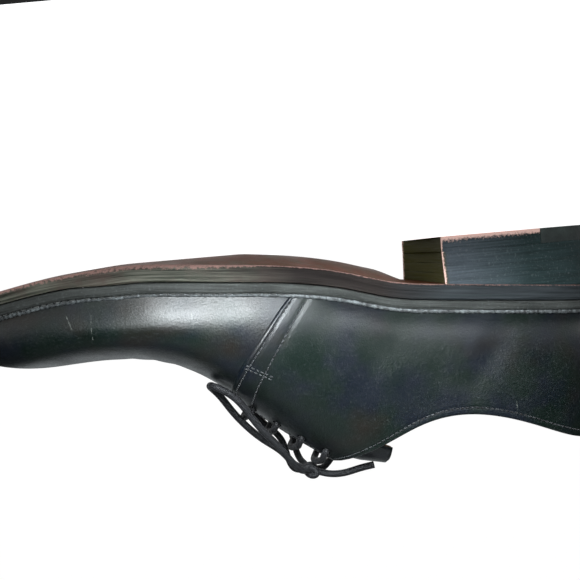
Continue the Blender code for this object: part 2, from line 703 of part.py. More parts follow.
def make_lace():
    """Straight bars between the eyelets, and the bow lying on them, the vamp and the tongue."""
    lift = LACE / 2 + LACE_CLEAR
    eyelets = {side: eyelet_places(side) for side in (LATERAL, MEDIAL)}
    middle = None
    for number in range(EYELETS):
        run = EYELET_FIRST + number * EYELET_PITCH
        ends, lips = [], []
        for side in (LATERAL, MEDIAL):
            place, normal = eyelets[side][number]
            ends.append(place + normal * lift)
            lip, lip_normal = facing_place(side, run, LIP_INSET)
            lips.append(lip + lip_normal * (WALL_QUARTER + lift + LIP_CLEAR))
        out = np.cross(lips[1] - lips[0], np.array((1.0, 0, -1.0)))
        out *= np.sign(out[2]) / np.linalg.norm(out)
        middle = (lips[0] + lips[1]) / 2 + out * BAR_BOW
        route = [ends[0], lips[0], middle, lips[1], ends[1]]
        make_cord(f"lace_bar_{number + 1}", smooth_path(route, CORD_STEP))
    knot_out = np.array((np.sin(KNOT_TILT), 0, np.cos(KNOT_TILT)))
    knot_centre = middle + knot_out * (LACE / 2 + GAP + KNOT_SIZE[2] / 2)
    make_knot(knot_centre)
    for name, run in BOW.items():
        points = knot_exit(knot_centre, run["leaves"]) + [out_from_last(*place) for place in run["route"]]
        if run["returns"]:
            points += knot_exit(knot_centre, run["returns"])[::-1]
        make_cord(name, smooth_path(points, CORD_STEP))


def knot_exit(centre, direction):
    """Two places in a direction from the knot's centre: just off its surface, and further out."""
    turn = np.array(Matrix.Rotation(KNOT_TILT, 3, "Y"))
    direction = np.array(direction) / np.linalg.norm(direction)
    own = direction @ turn
    reach = 1 / np.linalg.norm(own / (np.array(KNOT_SIZE) / 2))
    return [centre + direction * (reach + off) for off in (KNOT_CLEAR, KNOT_LEAD)]


def make_knot(centre):
    """Knot of the bow on the top bar."""
    bm = bmesh.new()
    shape = (Matrix.Translation(Vector(placed(centre))) @ Matrix.Rotation(KNOT_TILT, 4, "Y")
             @ Matrix.Diagonal((*(size / 2 * MM for size in KNOT_SIZE), 1)))
    bmesh.ops.create_uvsphere(bm, u_segments=KNOT_SIDES, v_segments=KNOT_SIDES // 2, radius=1, matrix=shape)
    make_object("lace_knot", mesh_from("lace_knot", bm), "waxed_cord")


for old in list(bpy.data.objects):
    bpy.data.objects.remove(old)
shoe = bpy.data.collections.new("derby_shoe")
cutters = bpy.data.collections.new("cutters")
for collection in (shoe, cutters):
    bpy.context.scene.collection.children.link(collection)
finishes = {name: make_material(name) for name in MATERIALS}
make_outsole()
make_welt()
make_heel()
make_insole()
punch_eyelets(make_upper())
make_tongue()
make_lace()
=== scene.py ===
"""Looks of the derby shoe: polished upper, stitched seams, round lace, welted sole and stacked heel.

Pieces are surfaces worked out with numpy from the sizes of the shoe's last and sole. Inside the functions
a place is in millimetres: ahead of the heel's back, across to the medial side, up from the floor.
"""
import bmesh
import bpy
import numpy as np
from mathutils import Matrix, Vector


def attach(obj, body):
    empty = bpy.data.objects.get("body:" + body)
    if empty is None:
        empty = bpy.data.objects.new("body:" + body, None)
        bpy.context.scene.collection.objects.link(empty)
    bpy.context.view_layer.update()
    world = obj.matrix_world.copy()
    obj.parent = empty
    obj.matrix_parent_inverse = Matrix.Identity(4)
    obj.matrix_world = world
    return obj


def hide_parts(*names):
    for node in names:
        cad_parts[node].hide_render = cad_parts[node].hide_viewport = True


MM = 0.001
LATERAL, MEDIAL = -1, 1
SIDES, UPWARD = (LATERAL, MEDIAL), (0.0, 0.0, 1.0)

# Photograph's camera: a lens of so many pixels for a picture so many pixels wide
PICTURE, LENS_PIXELS, SENSOR = 580, 622.0, 36.0
CAMERA_PLACE = (0.0193, -0.2900, 0.002)
CAMERA_YAW, CAMERA_ROLL = 5.0, 5.0         # degrees
HORIZON_OFFSET = 35.2                      # pixels from the picture's middle to the floor's horizon
CLIP_START = 0.005

# Sole and heel
LENGTH, OUTSOLE, TOE_THIN = 298.0, 6.7, 1.6
THIN_FROM, THIN_TO = 210.0, 234.0
GAP, WELT, WELT_REACH, FEATHER_GAP = 0.3, 4.0, 12.0, 1.0
BREAST, BREAST_HOLLOW = 80.0, 2.5
SOLE_LINE = {                  # lower edge of the outsole's side: heel seat, arch, tread and toe spring
    "ahead": (0, 40, 83, 97, 109, 121, 136, 157, 175, 192, 207, 222, 240, 260, 280, 298),
    "up": (27.9, 23.9, 19.8, 18.1, 15.4, 11.8, 8.3, 5.2, 3.4, 1.7, 0.8, 1.6, 3.3, 6.5, 10.5, 15.0),
}
EDGE_UP, WAIST_UP, WAIST_FROM, WAIST_TO = 0.8, 3.6, (88.0, 109.0), (168.0, 210.0)
SOLE_EDGE = {                  # outline of the sole, from the heel's back along the lateral side
    "ahead": (0, 10.5, 37, 80, 112, 150, 190, 235, 270, 289,
              298, 290, 272, 243, 210, 175, 130, 80, 37, 10.5),
    "across": (0, -25, -35, -34.5, -36.5, -45, -52.5, -48, -34.5, -18.5,
               3, 23.5, 39, 50, 53.5, 45, 29.5, 31.5, 34.5, 25),
}
TOPLIFT, LIFTS, HEEL_INSET, HEEL_TAPER = 6.2, 3, 0.3, 2.0
RUBBER_AHEAD, RUBBER_BOW = 36.0, 4.0

# Upper
WALL_VAMP, WALL_QUARTER = 1.8, 3.2
MARGIN = {"ahead": (0, 60, 110, 170, 298), "out": (4.2, 4.0, 4.0, 5.0, 5.0)}
HEEL_CENTRE, HEEL_BACK_STATION = 37.0, -20.0
SEAM_FOOT = 147.0
LOW_SHARE, LOW_OUT, LOW_UP = 0.25, 0.3, (0.35, 0.65)
NOSE_START, NOSE_POWER = 244.0, 2.5
LAST = {                       # one column for each section of the last
    "station": (-20, 10, 37, 80, 110, 130, 150, 162, 175, 185, 197, 222, 255, 298),
    "bulge_lateral": (2.6, 2.0, 1.3, 0.8, 0.8, 1.0, 1.5, 1.8, 2.0, 2.0, 2.0, 1.6, 1.5, 1.0),
    "bulge_medial": (2.6, 2.0, 1.3, 2.0, 2.8, 2.8, 2.5, 2.3, 2.0, 1.8, 1.6, 1.5, 1.5, 1.0),
    "widest_up": (24, 23, 22, 20, 18, 16, 14, 13, 12, 11.5, 11, 10, 9, 8),
    "ridge_shift": (0, 0, 0, 1, 4, 6.5, 7, 6.5, 5, 4, 3, 1, 0, 0),
    "ridge_up": (142, 142, 142, 134, 115, 98, 82.5, 72, 60.5, 52.5, 45.5, 40.2, 41.2, 40.5),
    "side_full": (0.16, 0.18, 0.22, 0.36, 0.48, 0.52, 0.52, 0.52, 0.52, 0.53, 0.55, 0.60, 0.65, 0.62),
    "top_full": (0.66, 0.68, 0.72, 0.66, 0.50, 0.40, 0.34, 0.34, 0.37, 0.40, 0.44, 0.50, 0.55, 0.55),
}
LEAN = {"foot": (-20, 37, 80, 147, 200, 250, 298), "ahead": (0, 0, 8, 26, 22, 8, 0)}
LEAN_ROOM, LEAN_POWER = 0.3, 2.2
TOPLINE = {"ahead": (0, 16, 44, 68, 94, 110, 129, 150), "up": (99.5, 96.5, 85, 78, 80.5, 88, 97.5, 107)}
MEDIAL_MORE, MEDIAL_FROM, MEDIAL_TO = 4.0, (14.0, 56.0), (98.0, 128.0)
FACING_GAP, CORNER_ROUND = 6.0, 1.5

# Tongue, insole and lace
TONGUE, TONGUE_CLEAR, TONGUE_BEND = 2.6, 0.8, 129.0
TONGUE_FORM = {
    "ahead": (186, 174, 150, 129, 117, 104),
    "half_width": (13, 20, 26, 24, 21, 18),
    "rise": (0, 0, 0, 0, 4.5, 7.5),
}
INSOLE, INSOLE_CLEAR, INSOLE_TOE_CLEAR = 3.0, 0.8, 3.0
LACE, LACE_CLEAR = 3.2, 0.45
EYELETS, EYELET_HOLE, EYELET_FIRST, EYELET_PITCH, EYELET_INSET = 4, 4.2, 12.5, 13.2, 8.5
LIP_INSET, LIP_CLEAR, BAR_BOW = 0.5, 0.2, 4.5
KNOT_SIZE, KNOT_TILT, KNOT_CLEAR, KNOT_LEAD = (8.5, 12.0, 7.0), 0.35, 0.4, 3.0
BOW = {                        # each half: the loop out of the knot and back, then the end
    "lateral": {
        "leaves": (0.85, -0.30, -0.45),
        "loop": ((146, -1.0, 11.5), (154, -3.0, 11.2), (162, -5.5, 10.6), (170, -8.5, 8.4),
                 (177, -12.5, 5.6), (180.5, -18, 4.8), (178.5, -23, 4.9), (172.5, -23.5, 5.2),
                 (164.5, -19, 7.2), (156.5, -13.5, 9.8), (148.5, -9.0, 11.3)),
        "returns": (0.50, -0.80, -0.30),
        "passes": (-0.80, -0.55, 0.10),
        "end": ((123, -3.5, 6.6), (117.5, -6.2, 3.6), (111.5, -8.5, 1.8)),
    },
    "medial": {
        "leaves": (0.85, 0.45, 0.00),
        "loop": ((146, 6.5, 11.9), (154, 9.5, 11.3), (162, 13.5, 9.9), (169, 18, 7.2), (173.5, 23.5, 5.3),
                 (172, 29, 5.2), (166, 30.5, 5.7), (159, 26.5, 7.0), (151.5, 19.5, 9.0), (144, 13, 10.9)),
        "returns": (0.42, 0.85, -0.30),
        "passes": (-0.75, 0.60, 0.15),
        "end": ((124, 8.0, 6.8), (121, 9.5, 4.6), (117, 11.5, 2.4)),
    },
}
FINE, EDGE_COUNT = 160, 1920


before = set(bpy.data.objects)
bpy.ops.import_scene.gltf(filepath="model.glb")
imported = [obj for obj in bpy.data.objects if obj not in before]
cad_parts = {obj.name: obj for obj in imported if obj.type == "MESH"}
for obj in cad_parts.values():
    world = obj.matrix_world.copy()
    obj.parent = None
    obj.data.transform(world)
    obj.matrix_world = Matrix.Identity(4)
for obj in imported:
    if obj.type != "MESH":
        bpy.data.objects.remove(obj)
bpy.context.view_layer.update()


# Curves

def spline(knots, values, at):
    """Natural cubic through the values at the knots, read at the places at."""
    knots = np.asarray(knots, float)
    values = np.asarray(values, float)
    step = np.diff(knots)
    slope = np.diff(values) / step
    inner = np.arange(1, len(knots) - 1)
    system = np.eye(len(knots))
    system[inner, inner - 1] = step[:-1]
    system[inner, inner] = 2 * (step[:-1] + step[1:])
    system[inner, inner + 1] = step[1:]
    right = np.zeros(len(knots))
    right[inner] = 6 * np.diff(slope)
    bend = np.linalg.solve(system, right)
    at = np.clip(at, knots[0], knots[-1])
    i = np.clip(np.searchsorted(knots, at) - 1, 0, len(step) - 1)
    h = step[i]
    a = (knots[i + 1] - at) / h
    b = 1 - a
    return (a * values[i] + b * values[i + 1]
            + ((a ** 3 - a) * bend[i] + (b ** 3 - b) * bend[i + 1]) * h * h / 6)


def ease(at, low, high):
    """Smooth step from 0 at low to 1 at high."""
    share = np.clip((at - low) / (high - low), 0, 1)
    return share * share * (3 - 2 * share)


def bezier(t, p0, p1, p2, p3):
    """Cubic Bezier value at t."""
    s = 1 - t
    return s ** 3 * p0 + 3 * s * s * t * p1 + 3 * s * t * t * p2 + t ** 3 * p3


def along(points):
    """Length run along rows of points, at each of them (the last axis but one)."""
    steps = np.linalg.norm(np.diff(points, axis=-2), axis=-1)
    return np.concatenate([np.zeros_like(steps[..., :1]), np.cumsum(steps, axis=-1)], axis=-1)


def unit(vectors):
    """Vectors scaled to length 1."""
    return vectors / np.maximum(np.linalg.norm(vectors, axis=-1, keepdims=True), 1e-12)


def smooth_path(points, spacing):
    """Points about spacing apart on a cubic through the given ones."""
    points = np.asarray(points, float)
    run = along(points)
    at = np.linspace(0, run[-1], max(6, int(round(run[-1] / spacing))))
    return np.stack([spline(run, points[:, k], at) for k in range(3)], -1)


def ripple(at, period, seed):
    """Uneven wave round 0 along a length: a sum of three sines with unlike periods and set phases."""
    phase = np.random.default_rng(seed).uniform(0, 2 * np.pi, 3)
    turn = 2 * np.pi * np.asarray(at)[..., None] / (period * np.array((1.0, 0.43, 2.3))) + phase
    return np.sin(turn).sum(-1) / 3


def turns(count):
    """Even angles once round."""
    return np.arange(count) * 2 * np.pi / count


def rings(side, top, count):
    """Circles of so many directions, from each side direction round by its top direction."""
    turn = turns(count)[:, None]
    return np.cos(turn) * side[:, None] + np.sin(turn) * top[:, None]


def read_along(at, run, values):
    """Rows of three values read at lengths of a run."""
    return np.stack([np.interp(at, run, values[:, k]) for k in range(3)], -1)


def drawn_in(distance, radius):
    """How far a face draws in at a distance from an edge that is rounded to a radius."""
    return radius - np.sqrt(np.clip(radius ** 2 - np.clip(radius - distance, 0, None) ** 2, 0, None))


# Last and sole

def sole_outline():
    """The sole's closed edge and its outward normals, as fine samples from the heel's back."""
    points = np.column_stack([SOLE_EDGE["ahead"], SOLE_EDGE["across"]]).astype(float)
    wrap = 4
    ring = np.vstack([points[-wrap:], points, points[:wrap + 1]])
    run = along(ring)
    at = np.linspace(run[wrap], run[-wrap - 1], EDGE_COUNT, endpoint=False)
    edge = np.column_stack([spline(run, ring[:, k], at) for k in (0, 1)])
    tangent = unit(np.roll(edge, -1, axis=0) - np.roll(edge, 1, axis=0))
    return edge, np.column_stack([tangent[:, 1], -tangent[:, 0]])


EDGE, EDGE_NORMAL = sole_outline()
ACROSS_MIDDLE = (EDGE[:, 1].min() + EDGE[:, 1].max()) / 2


def half_edge(side, inset):
    """One side of the sole's edge drawn in by inset, from the heel's back to the toe's tip."""
    curve = EDGE - EDGE_NORMAL * np.reshape(inset, (-1, 1))
    curve = np.roll(curve, -int(np.argmin(curve[:, 0])), axis=0)
    tip = int(np.argmax(curve[:, 0]))
    if side == LATERAL:
        return curve[:tip + 1]
    return np.vstack([curve[:1], curve[:tip - 1:-1]])


def sole_edge_up(ahead):
    """Height of the lower edge of the outsole's side."""
    return spline(SOLE_LINE["ahead"], SOLE_LINE["up"], ahead)


def sole_underside(ahead):
    """Height of the outsole's underside in its middle: below its edge, but never below the floor."""
    drop = ease(ahead, *WAIST_FROM) * (EDGE_UP + WAIST_UP * (1 - ease(ahead, *WAIST_TO)))
    return np.maximum(sole_edge_up(ahead) - drop, 0)


def edge_lift(ahead):
    """How far the underside rises from its middle to its edge."""
    return sole_edge_up(ahead) - sole_underside(ahead)


def outsole_top(ahead):
    """Height of the outsole's upper face."""
    thin = TOE_THIN * ease(ahead, THIN_FROM, THIN_TO)
    return sole_edge_up(ahead) + OUTSOLE - thin


def feather_up(ahead):
    """Height of the upper's lower edge."""
    return outsole_top(ahead) + GAP + WELT + FEATHER_GAP


LAST_INSET = np.interp(EDGE[:, 0], MARGIN["ahead"], MARGIN["out"]) + WALL_VAMP
FEATHER = {side: half_edge(side, LAST_INSET) for side in SIDES}
TIP = FEATHER[LATERAL][-1, 0]


def feather_across(side, ahead):
    """Place across of the last's lower edge on one side."""
    return np.interp(ahead, FEATHER[side][:, 0], FEATHER[side][:, 1])


def middle_across(ahead):
    """Place across halfway between the last's two lower edges."""
    return (feather_across(LATERAL, ahead) + feather_across(MEDIAL, ahead)) / 2


def heel_reach(side, turn):
    """Distance from the heel's axis to the last's lower edge, turn radians round from the side."""
    rear = FEATHER[side][FEATHER[side][:, 0] <= HEEL_CENTRE]
    back = HEEL_CENTRE - rear[:, 0]
    out = side * (rear[:, 1] - middle_across(HEEL_CENTRE))
    angle = np.arctan2(back, out)
    angle[0] = np.pi / 2
    return np.interp(turn, angle[::-1], np.hypot(back, out)[::-1])


def section(name, station):
    """A column of the LAST table read at the stations."""
    return spline(LAST["station"], LAST[name], station)


def ridge_across(ahead):
    """Place across of the last's ridge, which comes back to the middle at the toe."""
    shift = section("ridge_shift", ahead) * (1 - ease(ahead, NOSE_START, TIP))
    return middle_across(np.maximum(ahead, HEEL_CENTRE)) + shift


def last_point(side, station, rise):
    """Places on the last. Sections stand across the shoe, and fan round an axis in the heel.

    A section rises from the lower edge (rise 0) over its widest line (LOW_SHARE) to the ridge (1) on
    two cubics that meet upright, and it reaches the ridge level. Towards the toe it closes as a
    rounded nose.
    """
    station, rise = np.broadcast_arrays(np.asarray(station, float), np.asarray(rise, float))
    station = np.minimum(station, TIP)
    turn = np.clip((HEEL_CENTRE - station) / (HEEL_CENTRE - HEEL_BACK_STATION), 0, 1) * np.pi / 2
    foot = np.maximum(station, HEEL_CENTRE)
    axis_across = ridge_across(station)
    reach = np.where(turn > 0, heel_reach(side, turn), side * (feather_across(side, foot) - axis_across))
    base = feather_up(foot - np.sin(turn) * reach)
    nose_run = np.clip((foot - NOSE_START) / (TIP - NOSE_START), 0, 1)
    nose = (1 - nose_run ** NOSE_POWER) ** (1 / NOSE_POWER)
    bulge = section("bulge_lateral" if side == LATERAL else "bulge_medial", station) * nose
    widest = section("widest_up", station) * nose
    height = (section("ridge_up", station) - base) * nose
    wide = reach + bulge
    low = np.clip(rise / LOW_SHARE, 0, 1)
    high = np.clip((rise - LOW_SHARE) / (1 - LOW_SHARE), 0, 1)
    upper_half = rise > LOW_SHARE
    out = np.where(upper_half,
                   bezier(high, wide, wide, wide * section("top_full", station), 0 * wide),
                   bezier(low, reach, reach + LOW_OUT * bulge, wide, wide))
    shoulder = widest + section("side_full", station) * (height - widest)
    up = np.where(upper_half,
                  bezier(high, widest, shoulder, height, height),
                  bezier(low, 0 * widest, LOW_UP[0] * widest, LOW_UP[1] * widest, widest))
    return np.stack([foot - np.sin(turn) * out, axis_across + side * np.cos(turn) * out, base + up], -1)


def column_point(side, foot, rise):
    """Places on the columns of the upper's grid, which lean ahead as they rise like the quarter's edge."""
    foot, rise = np.broadcast_arrays(np.asarray(foot, float), np.asarray(rise, float))
    lower = last_point(side, foot, 0 * rise)[..., 2]
    ridge = last_point(side, foot, 0 * rise + 1)[..., 2]
    share = (last_point(side, foot, rise)[..., 2] - lower) / np.maximum(ridge - lower, 1e-6)
    lean = np.minimum(spline(LEAN["foot"], LEAN["ahead"], foot), LEAN_ROOM * (TIP - foot))
    return last_point(side, foot + lean * (1 - np.clip(1 - share, 0, 1) ** LEAN_POWER), rise)


def topline_up(side, ahead):
    """Height of the collar's edge on one side."""
    up = spline(TOPLINE["ahead"], TOPLINE["up"], ahead)
    if side == MEDIAL:
        up = up + MEDIAL_MORE * ease(ahead, *MEDIAL_FROM) * (1 - ease(ahead, *MEDIAL_TO))
    return up


def past_edge(side, points):
    """How far places lie past the upper's cut edge, by the collar's height and by the facing's gap."""
    ahead = points[..., 0]
    over = points[..., 2] - topline_up(side, ahead)
    over = np.where(ahead > TOPLINE["ahead"][-1], -LENGTH, over)
    gap = FACING_GAP * np.clip((TIP - ahead) / (TIP - NOSE_START), 0, 1)
    within = np.where(ahead < BREAST, -LENGTH, gap - side * (points[..., 1] - ridge_across(ahead)))
    high = np.maximum(over, within)
    return high + CORNER_ROUND * np.log1p(np.exp(-np.abs(over - within) / CORNER_ROUND))


def edge_rise(side, feet):
    """Rise at which each column meets the upper's cut edge."""
    rises = np.linspace(0, 1, 2 * FINE)
    past = past_edge(side, column_point(side, feet[:, None], rises))
    after = np.argmax(past >= 0, axis=1)
    row = np.arange(len(feet))
    before = np.maximum(after - 1, 0)
    share = past[row, before] / np.minimum(past[row, before] - past[row, after], -1e-9)
    return rises[before] + np.clip(share, 0, 1) * (rises[after] - rises[before])


def crown_up(ahead, across):
    """Height of the last's top at a place in plan."""
    axis_across = ridge_across(ahead)
    side = LATERAL if across < axis_across else MEDIAL
    arch = last_point(side, ahead, np.linspace(1, LOW_SHARE, FINE))
    return float(np.interp(abs(across - axis_across), side * (arch[:, 1] - axis_across), arch[:, 2]))


def tongue_up(ahead, across):
    """Height of the tongue's line of places: on the last, then leaning back."""
    rise = np.interp(-ahead, -np.array(TONGUE_FORM["ahead"], float), TONGUE_FORM["rise"])
    return crown_up(max(ahead, TONGUE_BEND), across) + rise


def out_from_last(ahead, across, out):
    """Place a distance out from the top of the last, or from the tongue's line behind it."""
    step = 0.5
    slope_ahead = (tongue_up(ahead + step, across) - tongue_up(ahead - step, across)) / (2 * step)
    slope_across = (tongue_up(ahead, across + step) - tongue_up(ahead, across - step)) / (2 * step)
    normal = unit(np.array((-slope_ahead, -slope_across, 1.0)))
    return np.array((ahead, across, tongue_up(ahead, across))) + normal * out


def surface_normal(side, foot, rise):
    """Outward normals of the last on the columns of the upper's grid."""
    step = 1e-3
    ahead = column_point(side, foot + step, rise) - column_point(side, foot - step, rise)
    up = column_point(side, foot, rise + step) - column_point(side, foot, rise - step)
    return unit(np.cross(ahead, up)) * -side


def rise_below(side, foot, top, depth, stop=0.0):
    """Rise on a column at a distance below a higher rise, found on the way down to a stop."""
    down = np.linspace(top, stop, FINE)
    return np.interp(depth, along(column_point(side, foot, down)), down)


def facing_place(side, run, inset):
    """Place on the last and outward normal, run along the facing from the throat and inset from its edge."""
    feet = np.linspace(SEAM_FOOT, BREAST, FINE)
    rises = edge_rise(side, feet)
    edge_run = along(column_point(side, feet, rises))
    foot = np.interp(run, edge_run, feet)
    rise = rise_below(side, foot, np.interp(run, edge_run, rises), inset, LOW_SHARE)
    return column_point(side, foot, rise), surface_normal(side, foot, rise)


def eyelet_places(side):
    """Places and normals of one facing's eyelets on the outer face, from the throat up."""
    found = [facing_place(side, EYELET_FIRST + n * EYELET_PITCH, EYELET_INSET) for n in range(EYELETS)]
    return [(place + normal * WALL_QUARTER, normal) for place, normal in found]


EYELET_PLACES = {side: eyelet_places(side) for side in SIDES}


# Making pieces

WELD, SHARP_ANGLE = 2e-6, 45.0             # metres, degrees
TUBE_SIDES, RUN_UNIT = 16, 10.0            # a run of 10 mm is 1 along the lace's own map


def placed(points):
    """Metres in the shoe's frame, from places in millimetres."""
    return (np.asarray(points, float) - (LENGTH / 2, ACROSS_MIDDLE, 0)) * MM


def grid_faces(columns, rows, wrap_columns=False, wrap_rows=False):
    """Quads of a grid of places numbered column by column."""
    steps = np.arange(columns - (not wrap_columns)), np.arange(rows - (not wrap_rows))
    i, j = np.meshgrid(*steps, indexing="ij")
    across = (i + 1) % columns
    up = (j + 1) % rows
    return np.stack([i * rows + j, across * rows + j, across * rows + up, i * rows + up], -1).reshape(-1, 4)


def linked(name, data):
    """New object of the scene that shows the data."""
    made = bpy.data.objects.new(name, data)
    bpy.context.scene.collection.objects.link(made)
    return made


def make_piece(name, points, faces, finishes, nodes=(), inner=None, shares=None, uv=None):
    """Piece of the shoe from places and faces: welded, turned outward, shaded smooth, riding on the body.

    inner marks the faces that take the second finish, shares are vertex values by name, and uv is a
    pair for each vertex.
    """
    mesh = bpy.data.meshes.new(name)
    mesh.from_pydata(placed(points).reshape(-1, 3), [], [tuple(face) for face in faces])
    for finish in finishes:
        mesh.materials.append(finish)
    if inner is not None:
        mesh.polygons.foreach_set("material_index", np.asarray(inner, np.int32))
    for key, values in (shares or {}).items():
        values = np.ravel(values).astype(np.float32)
        mesh.attributes.new(key, "FLOAT", "POINT").data.foreach_set("value", values)
    if uv is not None:
        corner = np.zeros(len(mesh.loops), np.int32)
        mesh.loops.foreach_get("vertex_index", corner)
        layer = mesh.uv_layers.new(name="run")
        layer.data.foreach_set("uv", np.asarray(uv, np.float32).reshape(-1, 2)[corner].ravel())
    bm = bmesh.new()
    bm.from_mesh(mesh)
    bmesh.ops.remove_doubles(bm, verts=bm.verts, dist=WELD)
    bmesh.ops.recalc_face_normals(bm, faces=bm.faces)
    bm.to_mesh(mesh)
    bm.free()
    mesh.shade_smooth()
    mesh.set_sharp_from_angle(angle=np.radians(SHARP_ANGLE))
    piece = linked(name, mesh)
    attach(piece, "root")
    if nodes:
        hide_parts(*nodes)
    return piece


def make_wall(name, node, inner, outer, finishes):
    """Closed wall between two grids of places, with the second finish on the inner one."""
    columns, rows = inner.shape[:2]
    loop = np.concatenate([inner, outer[:, ::-1]], axis=1)
    faces = grid_faces(columns, 2 * rows, wrap_rows=True)
    on_inner = np.tile(np.arange(2 * rows) < rows - 1, columns - 1)
    j = np.arange(rows - 1)
    cap = np.stack([j, j + 1, 2 * rows - 2 - j, 2 * rows - 1 - j], -1)
    faces = np.vstack([faces, cap, cap[:, ::-1] + (columns - 1) * 2 * rows])
    on_inner = np.concatenate([on_inner, np.zeros(2 * len(cap), bool)])
    return make_piece(name, loop, faces, finishes, [node], inner=on_inner)


def tube_mesh(path, radius, ref, sides=TUBE_SIDES):
    """Round tube along a path, with a ring at each place that keeps its top towards a set direction.

    Returns places, faces and a pair (run, turn) for each place.
    """
    tangent = unit(np.gradient(path, axis=0))
    side = unit(np.cross(tangent, np.asarray(ref, float)))
    top = np.cross(side, tangent)
    points = path[:, None] + rings(side, top, sides) * radius
    faces = [tuple(face) for face in grid_faces(len(path), sides, wrap_rows=True)]
    faces += [tuple(range(sides)), tuple(range((len(path) - 1) * sides, len(path) * sides))]
    run = np.broadcast_to(along(path)[:, None], points.shape[:2])
    uv = np.stack([run / RUN_UNIT, np.broadcast_to(turns(sides) / (2 * np.pi), points.shape[:2])], -1)
    return points.reshape(-1, 3), faces, uv


def joined(parts):
    """Places and faces of several meshes as one."""
    points, faces, start = [], [], 0
    for part_points, part_faces in parts:
        part_points = np.asarray(part_points, float).reshape(-1, 3)
        points.append(part_points)
        faces += [tuple(int(v) + start for v in face) for face in part_faces]
        start += len(part_points)
    return np.vstack(points), faces


# Camera

def make_camera():
    """Camera at the photograph's place, just above the floor and rolled half round."""
    yaw, roll = np.radians((CAMERA_YAW, CAMERA_ROLL))
    tilt = np.arctan(HORIZON_OFFSET / LENS_PIXELS)
    ahead = np.array((-np.sin(yaw), np.cos(yaw), 0.0))
    right = np.array((np.cos(yaw), np.sin(yaw), 0.0))
    up = np.array((0.0, 0.0, 1.0))
    look = ahead * np.cos(tilt) + up * np.sin(tilt)
    above = up * np.cos(tilt) - ahead * np.sin(tilt)
    turn = np.column_stack([-(right * np.cos(roll) - above * np.sin(roll)),
                            -(right * np.sin(roll) + above * np.cos(roll)), -look])
    data = bpy.data.cameras.new("photo_camera")
    data.sensor_width = SENSOR
    data.lens = SENSOR * LENS_PIXELS / PICTURE
    data.clip_start = CLIP_START
    camera = linked("photo_camera", data)
    camera.matrix_world = Matrix.Translation(CAMERA_PLACE) @ Matrix(turn.tolist()).to_4x4()
    bpy.context.scene.camera = camera


# Finishes

DYE = {                        # red, green, blue
    "calf_green": (0.0007, 0.0024, 0.0017), "calf_blue": (0.0010, 0.0018, 0.0034),
    "calf_brown": (0.0030, 0.0021, 0.0014), "calf_dust": (0.0130, 0.0150, 0.0150),
    "scratch": (0.050, 0.054, 0.048), "grit": (0.072, 0.078, 0.080), "olive": (0.0172, 0.0150, 0.0011),
    "waist_red": (0.048, 0.0105, 0.0028), "waist_brown": (0.026, 0.0125, 0.0028),
    "tread_light": (0.100, 0.050, 0.040), "tread_dark": (0.050, 0.027, 0.022),
    "tread_stain": (0.028, 0.019, 0.016), "fore_dark": (0.010, 0.011, 0.008),
    "fore_light": (0.070, 0.069, 0.056), "fore_brown": (0.034, 0.023, 0.020),
    "seat_dark": (0.0060, 0.0072, 0.0080), "seat_light": (0.019, 0.022, 0.024),
    "arch_dark": (0.0036, 0.0028, 0.0025), "arch_light": (0.0125, 0.0100, 0.0092),
    "sole_rub": (0.130, 0.078, 0.068), "lace_dark": (0.0020, 0.0020, 0.0024),
    "lace_light": (0.0065, 0.0066, 0.0074),
}
EDGE_DYES_AND_SHADE = {                  # dark, light, rubbed, and a darker, greener dark and light at the heel's back: painted shade
    "stacked_edge": ((0.0125, 0.0160, 0.0190), (0.038, 0.045, 0.052), (0.400, 0.260, 0.225),
                     ((0.0045, 0.0082, 0.0080), (0.0130, 0.0220, 0.0230))),
    "welt_edge": ((0.0062, 0.0066, 0.0062), (0.037, 0.039, 0.037), (0.15, 0.09, 0.075), None),
}
THREAD_GRAIN = ((260.0, 4.0, 0.40, 0.66), (900.0, 0.5, 0.7), (2600.0, 2.0, 0.4, 0.0002))
# Plain finishes: specular, sheen, two dyes, their clouds (to the metre, detail, from, to), dullness (clouds
# to the metre, low, high) and pits (to the metre, detail or None for cells, strength, depth)
PLAIN_FINISHES = {
    "tan_lining": (
        0.3, 0.0, (0.30, 0.185, 0.10), (0.21, 0.12, 0.065),
        (60.0, 6.0, 0.35, 0.70), (200.0, 0.50, 0.68), (900.0, None, 0.15, 0.0004)),
    "seam_bead": (
        0.35, 0.0, (0.012, 0.013, 0.0135), (0.056, 0.062, 0.064),
        (520.0, 5.0, 0.38, 0.66), (300.0, 0.50, 0.72), (900.0, 5.0, 0.5, 0.0005)),
    "heel_rubber": (
        0.3, 0.0, (0.0045, 0.0072, 0.0066), (0.014, 0.0205, 0.0185),
        (140.0, 6.0, 0.45, 0.75), (260.0, 0.62, 0.82), (1600.0, 3.0, 0.35, 0.0004)),
    "black_thread": (0.12, 0.02, (0.004, 0.004, 0.0045), (0.016, 0.017, 0.018), *THREAD_GRAIN),
    "welt_thread": (0.12, 0.02, (0.016, 0.017, 0.016), (0.050, 0.051, 0.049), *THREAD_GRAIN),
}
SCRATCHES = {                  # light scratches on the lateral side: two ends (ahead, up), half width
    "toe": ((234.0, 17.5), (232.0, 23.5), 0.30),
    "toe_fine": ((224.0, 18.5), (224.6, 28.0), 0.22),
    "vamp": ((186.0, 20.5), (185.5, 26.0), 0.16),
    "quarter": ((51.9, 73.5), (51.5, 79.0), 0.22),
}
SCRATCHED_SIDE = (-0.012, -0.008)          # metres across, where the scratched side begins
SHADE_FADE_AHEAD = (-0.106, -0.076)               # metres ahead, where the heel edge's painted shade at the back goes over to its front
ARCH_DYE, FORE_DYE, TREAD_FROM = (-0.070, -0.040), (-0.005, 0.035), (0.040, 0.085)
MID = (0.3, 0.7)                           # where most of a noise lies


def full(dye):
    """A dye with full cover. A node's output stays as it is."""
    return (*dye, 1.0) if isinstance(dye, tuple) else dye


